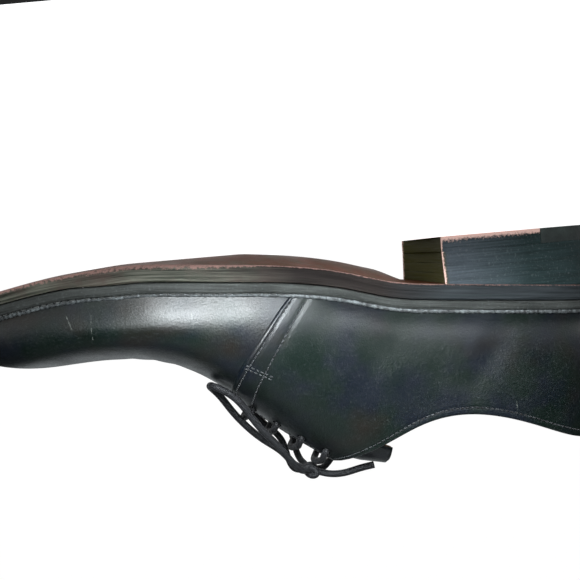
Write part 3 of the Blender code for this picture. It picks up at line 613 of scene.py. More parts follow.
def principled(name, sockets):
    """Material with constants set on its shader, and the shader."""
    material = bpy.data.materials.new(name)
    material.use_nodes = True
    shader = material.node_tree.nodes["Principled BSDF"]
    for key, value in sockets.items():
        shader.inputs[key].default_value = value
    return material, shader


class Finish:
    """Material of the shoe, with the nodes that it is built from on the piece's own coordinates."""

    def __init__(self, name, **sockets):
        self.material, self.shader = principled(name, sockets)
        self.tree = self.material.node_tree
        self.place = self.add("TexCoord", {}).outputs["Object"]

    def add(self, kind, inputs, **settings):
        """Node of a kind with its settings. An input is a value or another node's output."""
        made = self.tree.nodes.new("ShaderNode" + kind)
        for key, value in settings.items():
            setattr(made, key, value)
        for key, value in inputs.items():
            if isinstance(value, bpy.types.NodeSocket):
                self.tree.links.new(value, made.inputs[key])
            else:
                made.inputs[key].default_value = value
        return made

    def noise(self, scale, detail=4.0, rough=0.55, place=None):
        """Cloudy value from 0 to 1, with so many clouds to the metre."""
        place = self.place if place is None else place
        inputs = {"Vector": place, "Scale": scale, "Detail": detail, "Roughness": rough}
        return self.add("TexNoise", inputs).outputs[0]

    def streaks(self, place, scale, detail, rough=0.55):
        """Cloudy value stretched apart along the three axes."""
        return self.noise(1.0, detail, rough, self.stretched(place, scale))

    def cells(self, scale, **settings):
        """Distance to the middle of the nearest cell, with so many cells to the metre."""
        return self.add("TexVoronoi", {"Vector": self.place, "Scale": scale}, **settings).outputs["Distance"]

    def stretched(self, place, scale):
        """Coordinates scaled apart along the three axes."""
        return self.add("Mapping", {"Vector": place, "Scale": scale}).outputs[0]

    def between(self, value, low, high, out_low=0.0, out_high=1.0):
        """Value moved from one range to another, and kept within it."""
        inputs = {"Value": value, "From Min": low, "From Max": high, "To Min": out_low, "To Max": out_high}
        return self.add("MapRange", inputs).outputs[0]

    def clouds(self, scale, detail, low, high, out_low=0.0, out_high=1.0, rough=0.55):
        """Cloudy value moved from one range to another."""
        return self.between(self.noise(scale, detail, rough), low, high, out_low, out_high)

    def blended(self, share, first, second):
        """Colour that goes from the first to the second by a share."""
        inputs = {0: share, 6: full(first), 7: full(second)}
        return self.add("Mix", inputs, data_type="RGBA").outputs[2]

    def combined(self, operation, first, second):
        """Arithmetic on two values."""
        return self.add("Math", {0: first, 1: second}, operation=operation).outputs[0]

    def vector(self, operation, inputs, output):
        """Arithmetic on vectors."""
        return self.add("VectorMath", inputs, operation=operation).outputs[output]

    def bumped(self, height, strength, distance, normal=None):
        """Normal raised by a height, over a distance in metres."""
        inputs = {"Height": height, "Strength": strength, "Distance": distance}
        if normal is not None:
            inputs["Normal"] = normal
        return self.add("Bump", inputs).outputs[0]

    def share_of(self, name):
        """A vertex value of the piece."""
        return self.add("Attribute", {}, attribute_name=name).outputs["Fac"]

    def axis(self, number):
        """One of the piece's three coordinates."""
        return self.add("SeparateXYZ", {0: self.place}).outputs[number]

    def layered(self):
        """Coordinates whose third is the height in the leather's layers, so streaks follow its curve."""
        inputs = {0: self.axis(0), 1: self.axis(1), 2: self.share_of("layer")}
        return self.add("CombineXYZ", inputs).outputs[0]

    def rubbed(self, low, high):
        """Where a worn place has lost its dye: its worn value, broken up by a fine noise."""
        broken = self.clouds(950.0, 6.0, *MID, low, high, rough=0.7)
        return self.between(self.combined("ADD", self.share_of("worn"), broken), 0.38, 0.70)

    def near_line(self, start, end, width):
        """1 on a line between two places in side view (ahead, up) and 0 a width away from it."""
        start, end = (placed((ahead, ACROSS_MIDDLE, up)) for ahead, up in (start, end))
        run = end - start
        seen = self.stretched(self.place, (1.0, 0.0, 1.0))
        offset = self.vector("SUBTRACT", {0: seen, 1: tuple(start)}, 0)
        dot = self.vector("DOT_PRODUCT", {0: offset, 1: tuple(run / (run @ run))}, "Value")
        foot = self.vector("SCALE", {0: tuple(run), "Scale": self.between(dot, 0.0, 1.0)}, 0)
        away = self.vector("DISTANCE", {0: offset, 1: foot}, "Value")
        return self.between(away, 0.0, width * MM, 1.0, 0.0)

    def done(self, base, rough, normal):
        """The material, with its colour, roughness and normal linked to the shader."""
        for key, value in {"Base Color": base, "Roughness": rough, "Normal": normal}.items():
            self.tree.links.new(value, self.shader.inputs[key])
        return self.material


def plain_finish(name):
    """Finish of two dyes in clouds, with an uneven dullness and fine pits, from its row of the table."""
    specular, sheen, first, second, patches, dull, (pits, detail, strength, depth) = PLAIN_FINISHES[name]
    made = Finish(name, **{"Specular IOR Level": specular, "Sheen Weight": sheen})
    height = made.cells(pits) if detail is None else made.noise(pits, detail)
    return made.done(made.blended(made.clouds(*patches), first, second),
                     made.clouds(dull[0], 4.0, *MID, *dull[1:]), made.bumped(height, strength, depth))


def black_leather():
    """Polished black calf: near-black with blue, green and brown tints, fine grain, pores and scratches."""
    calf = Finish("black_calf", **{"Coat Weight": 0.10, "Coat Roughness": 0.36, "Specular IOR Level": 0.21})
    cool = calf.blended(calf.clouds(55.0, 3.0, 0.42, 0.62), DYE["calf_green"], DYE["calf_blue"])
    base = calf.blended(calf.clouds(24.0, 3.0, 0.54, 0.70), cool, DYE["calf_brown"])
    dust = calf.clouds(900.0, 4.0, 0.54, 0.76, 0.0, 0.8, rough=0.8)
    base = calf.blended(dust, base, DYE["calf_dust"])
    scratch = calf.between(calf.axis(1), *SCRATCHED_SIDE, 1.0, 0.0)
    lines = [calf.near_line(*line) for line in SCRATCHES.values()]
    while len(lines) > 1:
        lines.append(calf.combined("MAXIMUM", lines.pop(), lines.pop()))
    for part in (lines[0], calf.clouds(700.0, 2.0, 0.42, 0.66)):
        scratch = calf.combined("MULTIPLY", scratch, part)
    base = calf.blended(scratch, base, DYE["scratch"])
    rough = calf.combined("ADD", calf.clouds(70.0, 5.0, *MID, -0.06, 0.08),
                          calf.clouds(1500.0, 3.0, *MID, 0.31, 0.47))
    grain = calf.bumped(calf.cells(1600.0, feature="SMOOTH_F1"), 0.20, 0.0003)
    pull = calf.bumped(calf.noise(620.0, 5.0, 0.7), 0.16, 0.0006, grain)
    return calf.done(base, rough, calf.bumped(calf.noise(45.0, 2.0), 0.10, 0.0025, pull))


def edge_leather(name):
    """Cut edge of stacked leather: dyed, streaked along its layers, rubbed pale where it is worn, and with a
    rear pair painted darker and greener towards the heel's back as shade.
    """
    dark, light, rub, rear = EDGE_DYES_AND_SHADE[name]
    edge = Finish(name, **{"Specular IOR Level": 0.04})
    # painted shade: with a rear pair the edge goes darker and greener towards the heel's back
    if rear:
        front = edge.between(edge.axis(0), *SHADE_FADE_AHEAD)
        dark, light = (edge.blended(front, *pair) for pair in zip(rear, (dark, light)))
    level = edge.layered()
    streak = edge.streaks(level, (35.0, 35.0, 1500.0), 5.0, 0.6)
    fine = edge.streaks(level, (160.0, 160.0, 4200.0), 3.0)
    base = edge.blended(edge.between(streak, 0.28, 0.80), dark, light)
    olive = edge.combined("MULTIPLY", edge.share_of("breast"), edge.between(streak, *MID, 0.85, 1.0))
    for share, dye in ((edge.between(fine, 0.58, 0.76, 0.0, 0.5), light),
                       (edge.clouds(60.0, 4.0, 0.48, 0.74, 0.0, 0.6), dark),
                       (edge.clouds(1100.0, 3.0, 0.56, 0.76, 0.0, 0.4, rough=0.7), DYE["grit"]),
                       (olive, DYE["olive"]),
                       (edge.rubbed(-0.34, 0.14), rub)):
        base = edge.blended(share, base, dye)
    lines = edge.bumped(streak, 0.22, 0.0005)
    return edge.done(base, edge.between(streak, *MID, 0.52, 0.74), edge.bumped(fine, 0.18, 0.0003, lines))


def sole_leather():
    """Outsole: dyed striated edge, bluer at the heel, chestnut waist, and a brown tread scuffed in wear."""
    sole = Finish("sole_leather", **{"Specular IOR Level": 0.04})
    under, ahead = sole.share_of("under"), sole.axis(0)
    ragged = sole.clouds(90.0, 5.0, *MID, -0.35, 0.35)
    tread = sole.between(sole.combined("ADD", sole.between(ahead, *TREAD_FROM), ragged), 0.35, 0.65)
    waist = sole.blended(sole.clouds(120.0, 6.0, 0.35, 0.70), DYE["waist_red"], DYE["waist_brown"])
    scuff = sole.streaks(sole.place, (60.0, 420.0, 200.0), 6.0, 0.65)
    brown = sole.blended(sole.between(scuff, 0.38, 0.66), DYE["tread_light"], DYE["tread_dark"])
    brown = sole.blended(sole.clouds(45.0, 5.0, 0.52, 0.72), brown, DYE["tread_stain"])
    streak = sole.streaks(sole.layered(), (40.0, 40.0, 1500.0), 5.0, 0.6)
    fore = sole.blended(sole.between(streak, 0.40, 0.68), DYE["fore_dark"], DYE["fore_light"])
    fore = sole.blended(sole.clouds(80.0, 4.0, 0.46, 0.70, 0.0, 0.8), fore, DYE["fore_brown"])
    seat, arch = (sole.blended(sole.between(streak, 0.34, 0.74), DYE[zone + "_dark"], DYE[zone + "_light"])
                  for zone in ("seat", "arch"))
    side = sole.blended(sole.between(ahead, *ARCH_DYE), seat, arch)
    side = sole.blended(sole.between(ahead, *FORE_DYE), side, fore)
    side = sole.blended(sole.rubbed(-0.62, 0.20), side, DYE["sole_rub"])
    base = sole.blended(under, side, sole.blended(tread, waist, brown))
    polish = sole.combined("MULTIPLY", under, sole.combined("SUBTRACT", 1.0, tread))
    rough = sole.combined("SUBTRACT", sole.between(streak, *MID, 0.46, 0.66),
                          sole.combined("MULTIPLY", polish, 0.12))
    lines = sole.bumped(streak, 0.35, 0.0005)
    return sole.done(base, rough, sole.bumped(scuff, 0.25, 0.0004, lines))


def waxed_cord():
    """Black waxed round lace: a fine braid of two crossing strands that follows the cord."""
    cord = Finish("waxed_lace", **{"Specular IOR Level": 0.10, "Sheen Weight": 0.012, "Sheen Roughness": 0.5})
    run = cord.add("UVMap", {}, uv_map="run").outputs[0]
    strands = []
    for lean in (5.0, -5.0):
        inputs = {"Vector": cord.stretched(run, (9.0, lean, 1.0)), "Scale": 1.0, "Distortion": 0.3}
        strands.append(cord.add("TexWave", inputs, bands_direction="DIAGONAL").outputs["Fac"])
    braid = cord.combined("MAXIMUM", *strands)
    share = cord.combined("MULTIPLY", braid, cord.clouds(500.0, 4.0, *MID))
    return cord.done(cord.blended(share, DYE["lace_dark"], DYE["lace_light"]),
                     cord.clouds(800.0, 4.0, *MID, 0.42, 0.62), cord.bumped(braid, 0.5, 0.0003))


# Lace

LACE_REF = (1.0, 0.0, -1.0)    # along the instep, square to the bars
RING_SIDES, KNOT_STEPS = 14, 48
KNOT_TURNS = ((-2.6, 0.85, 0.8), (0.0, 1.0, 0.0), (2.6, 0.85, -0.8))       # offset, size, lean
BAR_IN, BAR_OUT, BAR_SHOULDER = 2.4, 0.2, 0.3
BAR_SPACING, BOW_SPACING, THROUGH_KNOT = 0.5, 0.7, 1.5


def bar_route(number):
    """Places of one bar: out of the lateral eyelet, over both facings' lips, and into the medial eyelet."""
    lift = LACE / 2 + LACE_CLEAR
    halves, lips = [], []
    for side in SIDES:
        place, normal = EYELET_PLACES[side][number]
        lip, lip_normal = facing_place(side, EYELET_FIRST + number * EYELET_PITCH, LIP_INSET)
        lips.append(lip + lip_normal * (WALL_QUARTER + lift + LIP_CLEAR))
        shoulder = place + normal * lift + BAR_SHOULDER * (lips[-1] - place - normal * lift)
        halves.append([place - normal * BAR_IN, place + normal * BAR_OUT, shoulder, lips[-1]])
    out = np.cross(lips[1] - lips[0], np.array(LACE_REF))
    out *= np.sign(out[2]) / np.linalg.norm(out)
    middle = (lips[0] + lips[1]) / 2 + out * BAR_BOW
    return halves[0] + [middle] + halves[1][::-1], middle


def knot_frame():
    """The knot's centre on the top bar, and its axes along the instep, across and out."""
    along_instep = np.array((np.cos(KNOT_TILT), 0, -np.sin(KNOT_TILT)))
    out = np.array((np.sin(KNOT_TILT), 0, np.cos(KNOT_TILT)))
    centre = bar_route(EYELETS - 1)[1] + out * (LACE / 2 + GAP + KNOT_SIZE[2] / 2)
    return centre, np.array((along_instep, (0.0, 1.0, 0.0), out))


def knot_exit(direction):
    """Two places in a direction from the knot's centre: just off its surface, and further out."""
    centre, axes = knot_frame()
    direction = unit(np.array(direction, float))
    reach = 1 / np.linalg.norm(axes @ direction / (np.array(KNOT_SIZE) / 2))
    return [centre + direction * (reach + off) for off in (KNOT_CLEAR, KNOT_LEAD)]


def make_bars(finish):
    """Straight bars of the lace between the eyelets."""
    for number in range(EYELETS):
        path = smooth_path(bar_route(number)[0], BAR_SPACING)
        points, faces, uv = tube_mesh(path, LACE / 2, LACE_REF)
        name = f"lace_bar_{number + 1}"
        make_piece("dressed_" + name, points, faces, [finish], [name], uv=uv)


def make_bow(finish):
    """Each half of the bow as one free cord: out of the knot, round its loop, through the knot to its end."""
    centre, axes = knot_frame()
    for half, run in BOW.items():
        side = LATERAL if half == "lateral" else MEDIAL
        leaves, returns, passes = (knot_exit(run[key]) for key in ("leaves", "returns", "passes"))
        route = leaves + [out_from_last(*place) for place in run["loop"]] + returns[::-1]
        route += [centre + axes[1] * side * THROUGH_KNOT] + passes
        path = smooth_path(route + [out_from_last(*place) for place in run["end"]], BOW_SPACING)
        points, faces, uv = tube_mesh(path, LACE / 2, axes[2])
        nodes = [f"lace_loop_{half}", f"lace_end_{half}"]
        cord = make_piece(f"bow_{half}", points, faces, [finish], nodes, uv=uv)


def make_knot(finish):
    """Knot as three turns of lace side by side: rings round an ellipse, the outer two smaller and leaning."""
    centre, axes = knot_frame()
    t, turn = np.meshgrid(turns(KNOT_STEPS), turns(RING_SIDES), indexing="ij")
    radius = LACE / 2
    parts, pairs = [], []
    for offset, size, lean in KNOT_TURNS:
        own = np.stack([np.cos(t) * (size * (KNOT_SIZE[0] / 2 - radius) + radius * np.cos(turn)),
                        offset + lean * np.cos(t) + radius * np.sin(turn),
                        np.sin(t) * (size * (KNOT_SIZE[2] / 2 - radius) + radius * np.cos(turn))], -1)
        parts.append((centre + own @ axes, grid_faces(KNOT_STEPS, RING_SIDES, True, True)))
        pairs.append(np.stack([t * KNOT_SIZE[0] / (4 * RUN_UNIT), turn / (2 * np.pi)], -1).reshape(-1, 2))
    points, faces = joined(parts)
    make_piece("dressed_knot", points, faces, [finish], ["lace_knot"], uv=np.vstack(pairs))


# Sole and heel pieces

END_POINTS, RIM_COUNT, WELT_COUNT, HEEL_COUNT = 15, 160, 640, 60
OUTSOLE_ROWS = {               # section of the outsole's edge from below
    "inset": (16, 11, 7, 4, 2, 1.2, 0.5, 0.2, 0.05, 0, 0, 0, 0.03, 0.06, 0.1, 0.2, 0.6),
    "rise": (0, 0.3, 0.58, 0.8, 0.94, 1, 1, 1, 1, 1, 1, 1, 1, 1, 1, 1, 1),
    "share": (0, 0, 0, 0, 0, 0, 0.04, 0.12, 0.2, 0.3, 0.4, 0.52, 0.64, 0.75, 0.86, 0.95, 1),
}
WELT_ROWS = {                  # section of the welt from below
    "inset": (WELT_REACH, 1.0, 0.5, 0.3, 0.3, 0.3, 0.4, 0.7, 1.1, 1.6, WELT_REACH),
    "share": (0, 0, 0.05, 0.15, 0.35, 0.55, 0.72, 0.86, 0.95, 1, 1),
}
STRIAE, STRIAE_PERIOD, STRIAE_SHARE = 0.06, 35.0, (0.1, 0.95)
WHEEL_PITCH, WHEEL_DEPTH, WHEEL_POWER, WHEEL_SHARE = 2.6, 0.12, 3, 0.6
CORNER_INSET, UNDER_INSET, HEEL_BEVEL = 1.5, 2.0, 0.07
HEEL_ROWS = {                  # section of a heel layer from below, with its eased corners
    "share": (0, 0.02, 0.06, 0.35, 0.65, 0.94, 0.98, 1),
    "bevel": (1, 0.3, 0, 0, 0, 0, 0.3, 1),
}
TREAD_WEAR, BREAST_WEAR, CORNER_WEAR = 2.6, 0.35, (0.8, 0.7)
INSOLE_EASE = 0.5
WORN_EDGE, WORN_REACH = (150.0, 190.0), (0.08, 0.36)       # corner worn more towards the toe
CLOSE = GAP - 0.02             # how far a layer rises to meet the one above


def rim(inset, back=None, front=None, count=RIM_COUNT):
    """Closed outline of a sole piece and the counts of its back, side and front points.

    back and front are (ahead, bow) of an end cut across, or None for the sole's own round end.
    """
    halves = {side: half_edge(side, inset) for side in SIDES}
    low = halves[LATERAL][0, 0] if back is None else back[0]
    high = halves[LATERAL][-1, 0] if front is None else front[0]
    start = 0.0 if back is None else 0.5
    stop = 1.0 if front is None else 0.5
    turn = np.linspace(start, stop, count + (back is None) + (front is None))
    if start == stop:
        share = np.linspace(0, 1, count)
    else:
        wave = np.cos(np.pi * turn)
        share = (wave[0] - wave) / (wave[0] - wave[-1])
    share = share[back is None:len(share) - (front is None)]
    ahead = low + (high - low) * share
    sides = {side: np.column_stack([ahead, np.interp(ahead, half[:, 0], half[:, 1])])
             for side, half in halves.items()}

    def end(cut, first, last, tip):
        if cut is None:
            return tip[None, :]
        share_across = np.linspace(0, 1, END_POINTS + 2)[1:-1]
        bow = cut[1] * (1 - (2 * share_across - 1) ** 2)
        return np.column_stack([cut[0] + bow, first[1] + (last[1] - first[1]) * share_across])

    back_points = end(back, sides[MEDIAL][0], sides[LATERAL][0], halves[LATERAL][0])
    front_points = end(front, sides[LATERAL][-1], sides[MEDIAL][-1], halves[LATERAL][-1])
    loop = np.vstack([back_points, sides[LATERAL], front_points, sides[MEDIAL][::-1]])
    return loop, (len(back_points), len(ahead), len(front_points))


def slab_faces(rows, size, counts):
    """Faces of stacked rims: quads round the side, and strips across the lowest and the highest rim."""
    back, side, front = counts
    ring = np.arange(size)
    lateral = ring[back:back + side]
    medial = ring[back + side + front:][::-1]
    ends = [[*ring[:back], lateral[0], lateral[1], medial[1], medial[0]],
            [*lateral[-2:], *ring[back + side:back + side + front], medial[-1], medial[-2]]]
    strips = ends + np.stack([lateral[1:-2], lateral[2:-1], medial[2:-1], medial[1:-2]], -1).tolist()
    faces = [tuple(face) for face in grid_faces(rows, size, wrap_rows=True)]
    faces += [tuple(face[::-1]) for face in strips]
    return faces + [tuple(v + (rows - 1) * size for v in face) for face in strips]


def make_slab(node, loops, counts, finish, shares=None):
    """Piece from stacked rims in place of a node."""
    points = np.array(loops)
    faces = slab_faces(*points.shape[:2], counts)
    make_piece("dressed_" + node, points, faces, [finish], [node], shares=shares)


def make_outsole(finish):
    """Outsole: its tread rises to a worn corner, and its side is rounded and finely striated."""
    edge_run = along(EDGE)
    loops, worn, under, layer = [], [], [], []
    for row, (inset, rise, share) in enumerate(zip(*OUTSOLE_ROWS.values())):
        streak = STRIAE * (1 + ripple(edge_run, STRIAE_PERIOD, row))
        streak = streak * (STRIAE_SHARE[0] < share < STRIAE_SHARE[1])
        loop, counts = rim(inset + streak)
        ahead = loop[:, 0]
        low = sole_underside(ahead) + rise * edge_lift(ahead)
        loops.append(np.column_stack([loop, (1 - share) * low + share * outsole_top(ahead)]))
        reach = WORN_REACH[0] + (WORN_REACH[1] - WORN_REACH[0]) * ease(ahead, *WORN_EDGE)
        worn.append(np.exp(-(share / reach) ** 2) * (inset < CORNER_INSET))
        under.append(0 * ahead + (inset >= UNDER_INSET))
        layer.append(share * (outsole_top(ahead) - low) * MM)
    shares = {"worn": worn, "under": under, "layer": layer}
    make_slab("outsole", loops, counts, finish, shares)


def make_welt(finish):
    """Welt strip with a rounded outer edge, marked by the fudge wheel along its upper corner."""
    edge_run = along(EDGE)
    wheel = WHEEL_DEPTH * (0.5 + 0.5 * np.cos(2 * np.pi * edge_run / WHEEL_PITCH)) ** WHEEL_POWER
    loops = []
    for inset, share in zip(*WELT_ROWS.values()):
        loop = rim(inset + wheel * (WHEEL_SHARE < share < 1), count=WELT_COUNT)[0]
        loops.append(np.column_stack([loop, outsole_top(loop[:, 0]) + GAP + share * WELT]))
    points = np.array(loops)
    faces = grid_faces(*points.shape[:2], wrap_columns=True, wrap_rows=True)
    layer = np.repeat(WELT_ROWS["share"], points.shape[1]) * WELT * MM
    make_piece("dressed_welt", points, faces, [finish], ["welt"], shares={"layer": layer})


def bevelled(name, low, high, inset_low, inset_high, back, front, finish):
    """Heel layer between two heights with its corners eased, worn at the floor and the breast's corners."""
    loops, worn, breast, layer = [], [], [], []
    for share, bevel in zip(*HEEL_ROWS.values()):
        inset = inset_low + share * (inset_high - inset_low) + bevel * HEEL_BEVEL
        cut_back = None if back is None else (back[0] + bevel * HEEL_BEVEL, back[1])
        cut_front = (front[0] - bevel * HEEL_BEVEL, front[1])
        loop, counts = rim(inset, cut_back, cut_front, HEEL_COUNT)
        lower, upper = low(loop[:, 0]), high(loop[:, 0])
        level = lower + share * (upper - lower)
        loops.append(np.column_stack([loop, level]))
        layer.append(level * MM)
        corners = loop[[counts[0] + counts[1] - 1, counts[0] + counts[1] + counts[2]]]
        near = np.linalg.norm(loop[:, None] - corners, axis=-1).min(1)
        place = np.arange(len(loop)) - counts[0] - counts[1]
        breast.append((place >= -1) & (place <= counts[2]) & (front[0] == BREAST))
        tread_wear = np.exp(-(level / TREAD_WEAR) ** 2) * np.where(breast[-1], BREAST_WEAR, 1.0)
        corner_wear = CORNER_WEAR[0] * np.exp(-near / CORNER_WEAR[1]) * (front[0] == BREAST)
        worn.append(np.maximum(corner_wear, tread_wear))
    make_slab(name, loops, counts, finish, {"worn": worn, "breast": breast, "layer": layer})


def make_heel(leather, rubber):
    """Three leather lifts under the seat, and the top piece in leather ahead and rubber behind."""
    breast = (BREAST, -BREAST_HOLLOW)
    start = TOPLIFT + GAP

    def stack_up(share, gap=0.0):
        return lambda ahead: start + share * (sole_underside(ahead) - GAP - start) + gap

    for number in range(LIFTS):
        low, high = 1 - (number + 1) / LIFTS, 1 - number / LIFTS
        bevelled(f"heel_lift_{number + 1}", stack_up(low, GAP if low > 0 else 0.0), stack_up(high, CLOSE),
                 HEEL_INSET + HEEL_TAPER * (1 - low), HEEL_INSET + HEEL_TAPER * (1 - high),
                 None, breast, leather)
    inset = HEEL_INSET + HEEL_TAPER
    floor, top = (lambda ahead: 0 * ahead), (lambda ahead: 0 * ahead + TOPLIFT + CLOSE)
    bevelled("toplift_rubber", floor, top, inset, inset, None, (RUBBER_AHEAD, RUBBER_BOW),
             rubber)
    bevelled("toplift_leather", floor, top, inset, inset, (RUBBER_AHEAD + GAP, RUBBER_BOW), breast,
             leather)


def make_insole(finish):
    """Insole inside the foot of the upper, with eased edges."""
    clear = LAST_INSET + INSOLE_CLEAR + INSOLE_TOE_CLEAR * ease(EDGE[:, 0], NOSE_START, LENGTH)
    loops = []
    for more, up in ((INSOLE_EASE, 0), (0, INSOLE_EASE), (0, INSOLE - INSOLE_EASE), (INSOLE_EASE, INSOLE)):
        loop, counts = rim(clear + more)
        loops.append(np.column_stack([loop, feather_up(loop[:, 0]) + GAP + up]))
    make_slab("insole", loops, counts, finish)


# Upper pieces

SEAM_STEPS = (0, 0.12, 0.3, 0.6, 1, 1.5, 2.1, 2.8, 3.6, 4.5, 5.5, 6.6, 7.8, 9, 10.5, 12, 14)
EDGE_STEPS = (0, 0.1, 0.3, 0.6, 1, 1.5, 2, 2.5, 3, 3.5, 4.5)
COLUMN_STEP, QUARTER_ROWS, VAMP_COLUMNS, VAMP_ROWS = 2.0, 44, 120, 60
SEAM_LEAN = 0.87               # width of a column's step square to the quarter's leaning edge
TOP_ROUND, SEAM_ROUND, FOOT_DOWN = 1.1, 0.9, 0.9
SEAM_ROWS, EDGE_ROW, PITCH, THREAD = (1.6, 6.6), 3.4, 2.2, 0.36
BAR_TACK, BAR_TACK_DEPTH, BAR_TACK_ROWS = (0.4, 9.8), (41.2, 39.9), (-0.7, 0.7)
BACK_SEAM, EDGE_GROOVE, SEAM_GROOVE = (0.8, 0.25), (0.5, 0.2), (0.55, 0.34)    # half width, depth
SEAM_TUCK, LAP_WIDTH, LAP_THIN, VAMP_UNDER = 0.25, 2.0, 0.4, 1.5
TONGUE_GRID, TONGUE_ROUND, TOP_FADE, PUNCH_SIDES = (64, 41), 1.2, 1.5, 32
EYELET_RING, EYELET_SINK = (3.6, 0.8, -0.22), (0.0, 2.6, 0.3)  # away from its middle, width, depth
BEAD_PLACE, BEAD_RADIUS, BEAD_SIDES = (0.4, 0.6), 0.95, 10
BEAD_WAVE, BEAD_UNEVEN, BEAD_SEED = (0.10, 2.2), (0.14, 9.0), 4               # depth, length
BEAD_STEP = 3.0                # how far from the quarters' edge the bead follows the thinner wall
FLEX = {                       # creases over the vamp: ahead, width, depth
    "behind": (195.0, 3.0, 0.30),
    "middle": (204.0, 3.2, 0.45),
    "ahead": (213.0, 3.6, 0.35),
}
FLEX_BOW, FLEX_REACH, FLEX_FADE = 9.0, 46.0, 0.5
SWELL, SWELL_WIDTH = 0.5, 2.5  # swell beside a crease, against its depth and width
DENTS = {                      # soft troughs in the quarters: two ends (ahead, up), width, depth
    "waist": ((70.0, 63.0), (57.0, 46.0), 6.0, 0.6),
    "counter": ((33.0, 80.0), (41.0, 60.0), 5.0, 0.4),
    "side": ((122.0, 60.0), (104.0, 42.0), 7.0, 0.5),
}
MEDIAL_SOFTNESS = 0.6
FOOT_HOLLOW, HOLLOW_FROM = (5.0, 5.0, 0.9), (140.0, 126.0)     # height above the welt, width, depth


def quarter_rows(side, feet):
    """Places of one quarter, column by column from the foot up, and their distance below the cut edge."""
    fine = edge_rise(side, feet)[:, None] * np.linspace(0, 1, 2 * FINE)
    run = along(column_point(side, feet[:, None], fine))
    length = run[:, -1:]
    rest = EDGE_STEPS[-1] + (length - EDGE_STEPS[-1]) * np.linspace(0, 1, QUARTER_ROWS)[1:]
    below = np.hstack([np.broadcast_to(EDGE_STEPS, (len(feet), len(EDGE_STEPS))), rest])[:, ::-1]
    rises = np.array([np.interp(*column) for column in zip(length - below, run, fine)])
    return column_point(side, feet[:, None], rises), below


def grid_normal(points):
    """Outward normals of a grid of places, from its own differences."""
    return unit(np.cross(np.gradient(points, axis=0), np.gradient(points, axis=1)))


def trough(points, start, end, width, depth):
    """Soft trough round a line in side view: a bell of the distance to it."""
    start, run = np.array(start), np.array(end) - np.array(start)
    seen = points[..., (0, 2)] - start
    share = np.clip(seen @ run / (run @ run), 0, 1)
    away = np.linalg.norm(seen - share[..., None] * run, axis=-1)
    return -depth * np.exp(-(away / width) ** 2)


def quarter_dents(points):
    """Rise of the quarters' outer face: troughs, and a hollow along the foot, weaker on the medial side."""
    ahead = points[..., 0]
    amount = np.where(points[..., 1] < ridge_across(ahead), 1.0, MEDIAL_SOFTNESS)
    hollow = groove(points[..., 2] - feather_up(ahead), *FOOT_HOLLOW) * ease(ahead, *HOLLOW_FROM)
    return amount * (hollow + sum(trough(points, *dent) for dent in DENTS.values()))


def vamp_flex(points):
    """Rise of the vamp's outer face: creases bowed to the toe at the sides, with soft swells between."""
    off = points[..., 1] - ridge_across(points[..., 0])
    fade = 1 - ease(np.abs(off), FLEX_FADE * FLEX_REACH, FLEX_REACH)
    rise = 0.0
    for ahead, width, depth in FLEX.values():
        away = points[..., 0] - ahead - FLEX_BOW * (off / FLEX_REACH) ** 2
        swell = SWELL * np.exp(-(away / (SWELL_WIDTH * width)) ** 2)
        rise = rise + depth * swell + groove(away, 0.0, width, depth)
    return rise * fade


def groove(distance, at, width, depth):
    """Narrow trough at a distance."""
    return -depth * np.exp(-((distance - at) / width) ** 2)


def eyelet_press(points):
    """Rise round the eyelets: the hidden ring stands out and the hole's edge sinks."""
    places = np.array([place for side in SIDES for place, _ in EYELET_PLACES[side]])
    away = np.linalg.norm(points[..., None, :] - places, axis=-1).min(-1)
    return groove(away, *EYELET_RING) + groove(away, *EYELET_SINK)


def make_quarters(finishes):
    """Both quarters as one wall from seam to seam round the heel, with stitch grooves and eyelets."""
    steps = np.arange(SEAM_STEPS[-1] + COLUMN_STEP, SEAM_FOOT - HEEL_BACK_STATION, COLUMN_STEP)
    half = SEAM_FOOT - np.concatenate([SEAM_STEPS, steps])
    half = np.append(half, HEEL_BACK_STATION)
    medial, below_medial = quarter_rows(MEDIAL, half)
    lateral, below_lateral = quarter_rows(LATERAL, half[::-1][1:])
    points = np.concatenate([medial, lateral])
    below = np.concatenate([below_medial, below_lateral])
    feet = np.concatenate([half, half[::-1][1:]])
    seam = (SEAM_LEAN * (SEAM_FOOT - feet))[:, None]
    normal = grid_normal(points)
    round_top = drawn_in(below, TOP_ROUND)
    seam_share = np.sqrt(1 - np.clip(1 - seam / SEAM_ROUND, 0, 1) ** 2)
    step = WALL_VAMP - SEAM_TUCK + (WALL_QUARTER - WALL_VAMP + SEAM_TUCK) * seam_share
    out = np.minimum(WALL_QUARTER - round_top, step)
    rise = groove(below, EDGE_ROW, *EDGE_GROOVE) + quarter_dents(points)
    rise = rise + eyelet_press(points + normal * WALL_QUARTER)
    rise = rise + sum(groove(seam, row, *SEAM_GROOVE) for row in SEAM_ROWS)
    rise = rise + groove(feet[:, None], HEEL_BACK_STATION, *BACK_SEAM)
    out = out + rise * ease(below, 0, TOP_FADE)
    inner = points + normal * np.maximum(round_top, LAP_THIN * (seam < LAP_WIDTH))[..., None]
    outer = points + normal * out[..., None]
    for face in (inner, outer):
        face[:, 0, 2] -= FOOT_DOWN
    punch_eyelets(make_wall("quarters", "upper", inner, outer, finishes))


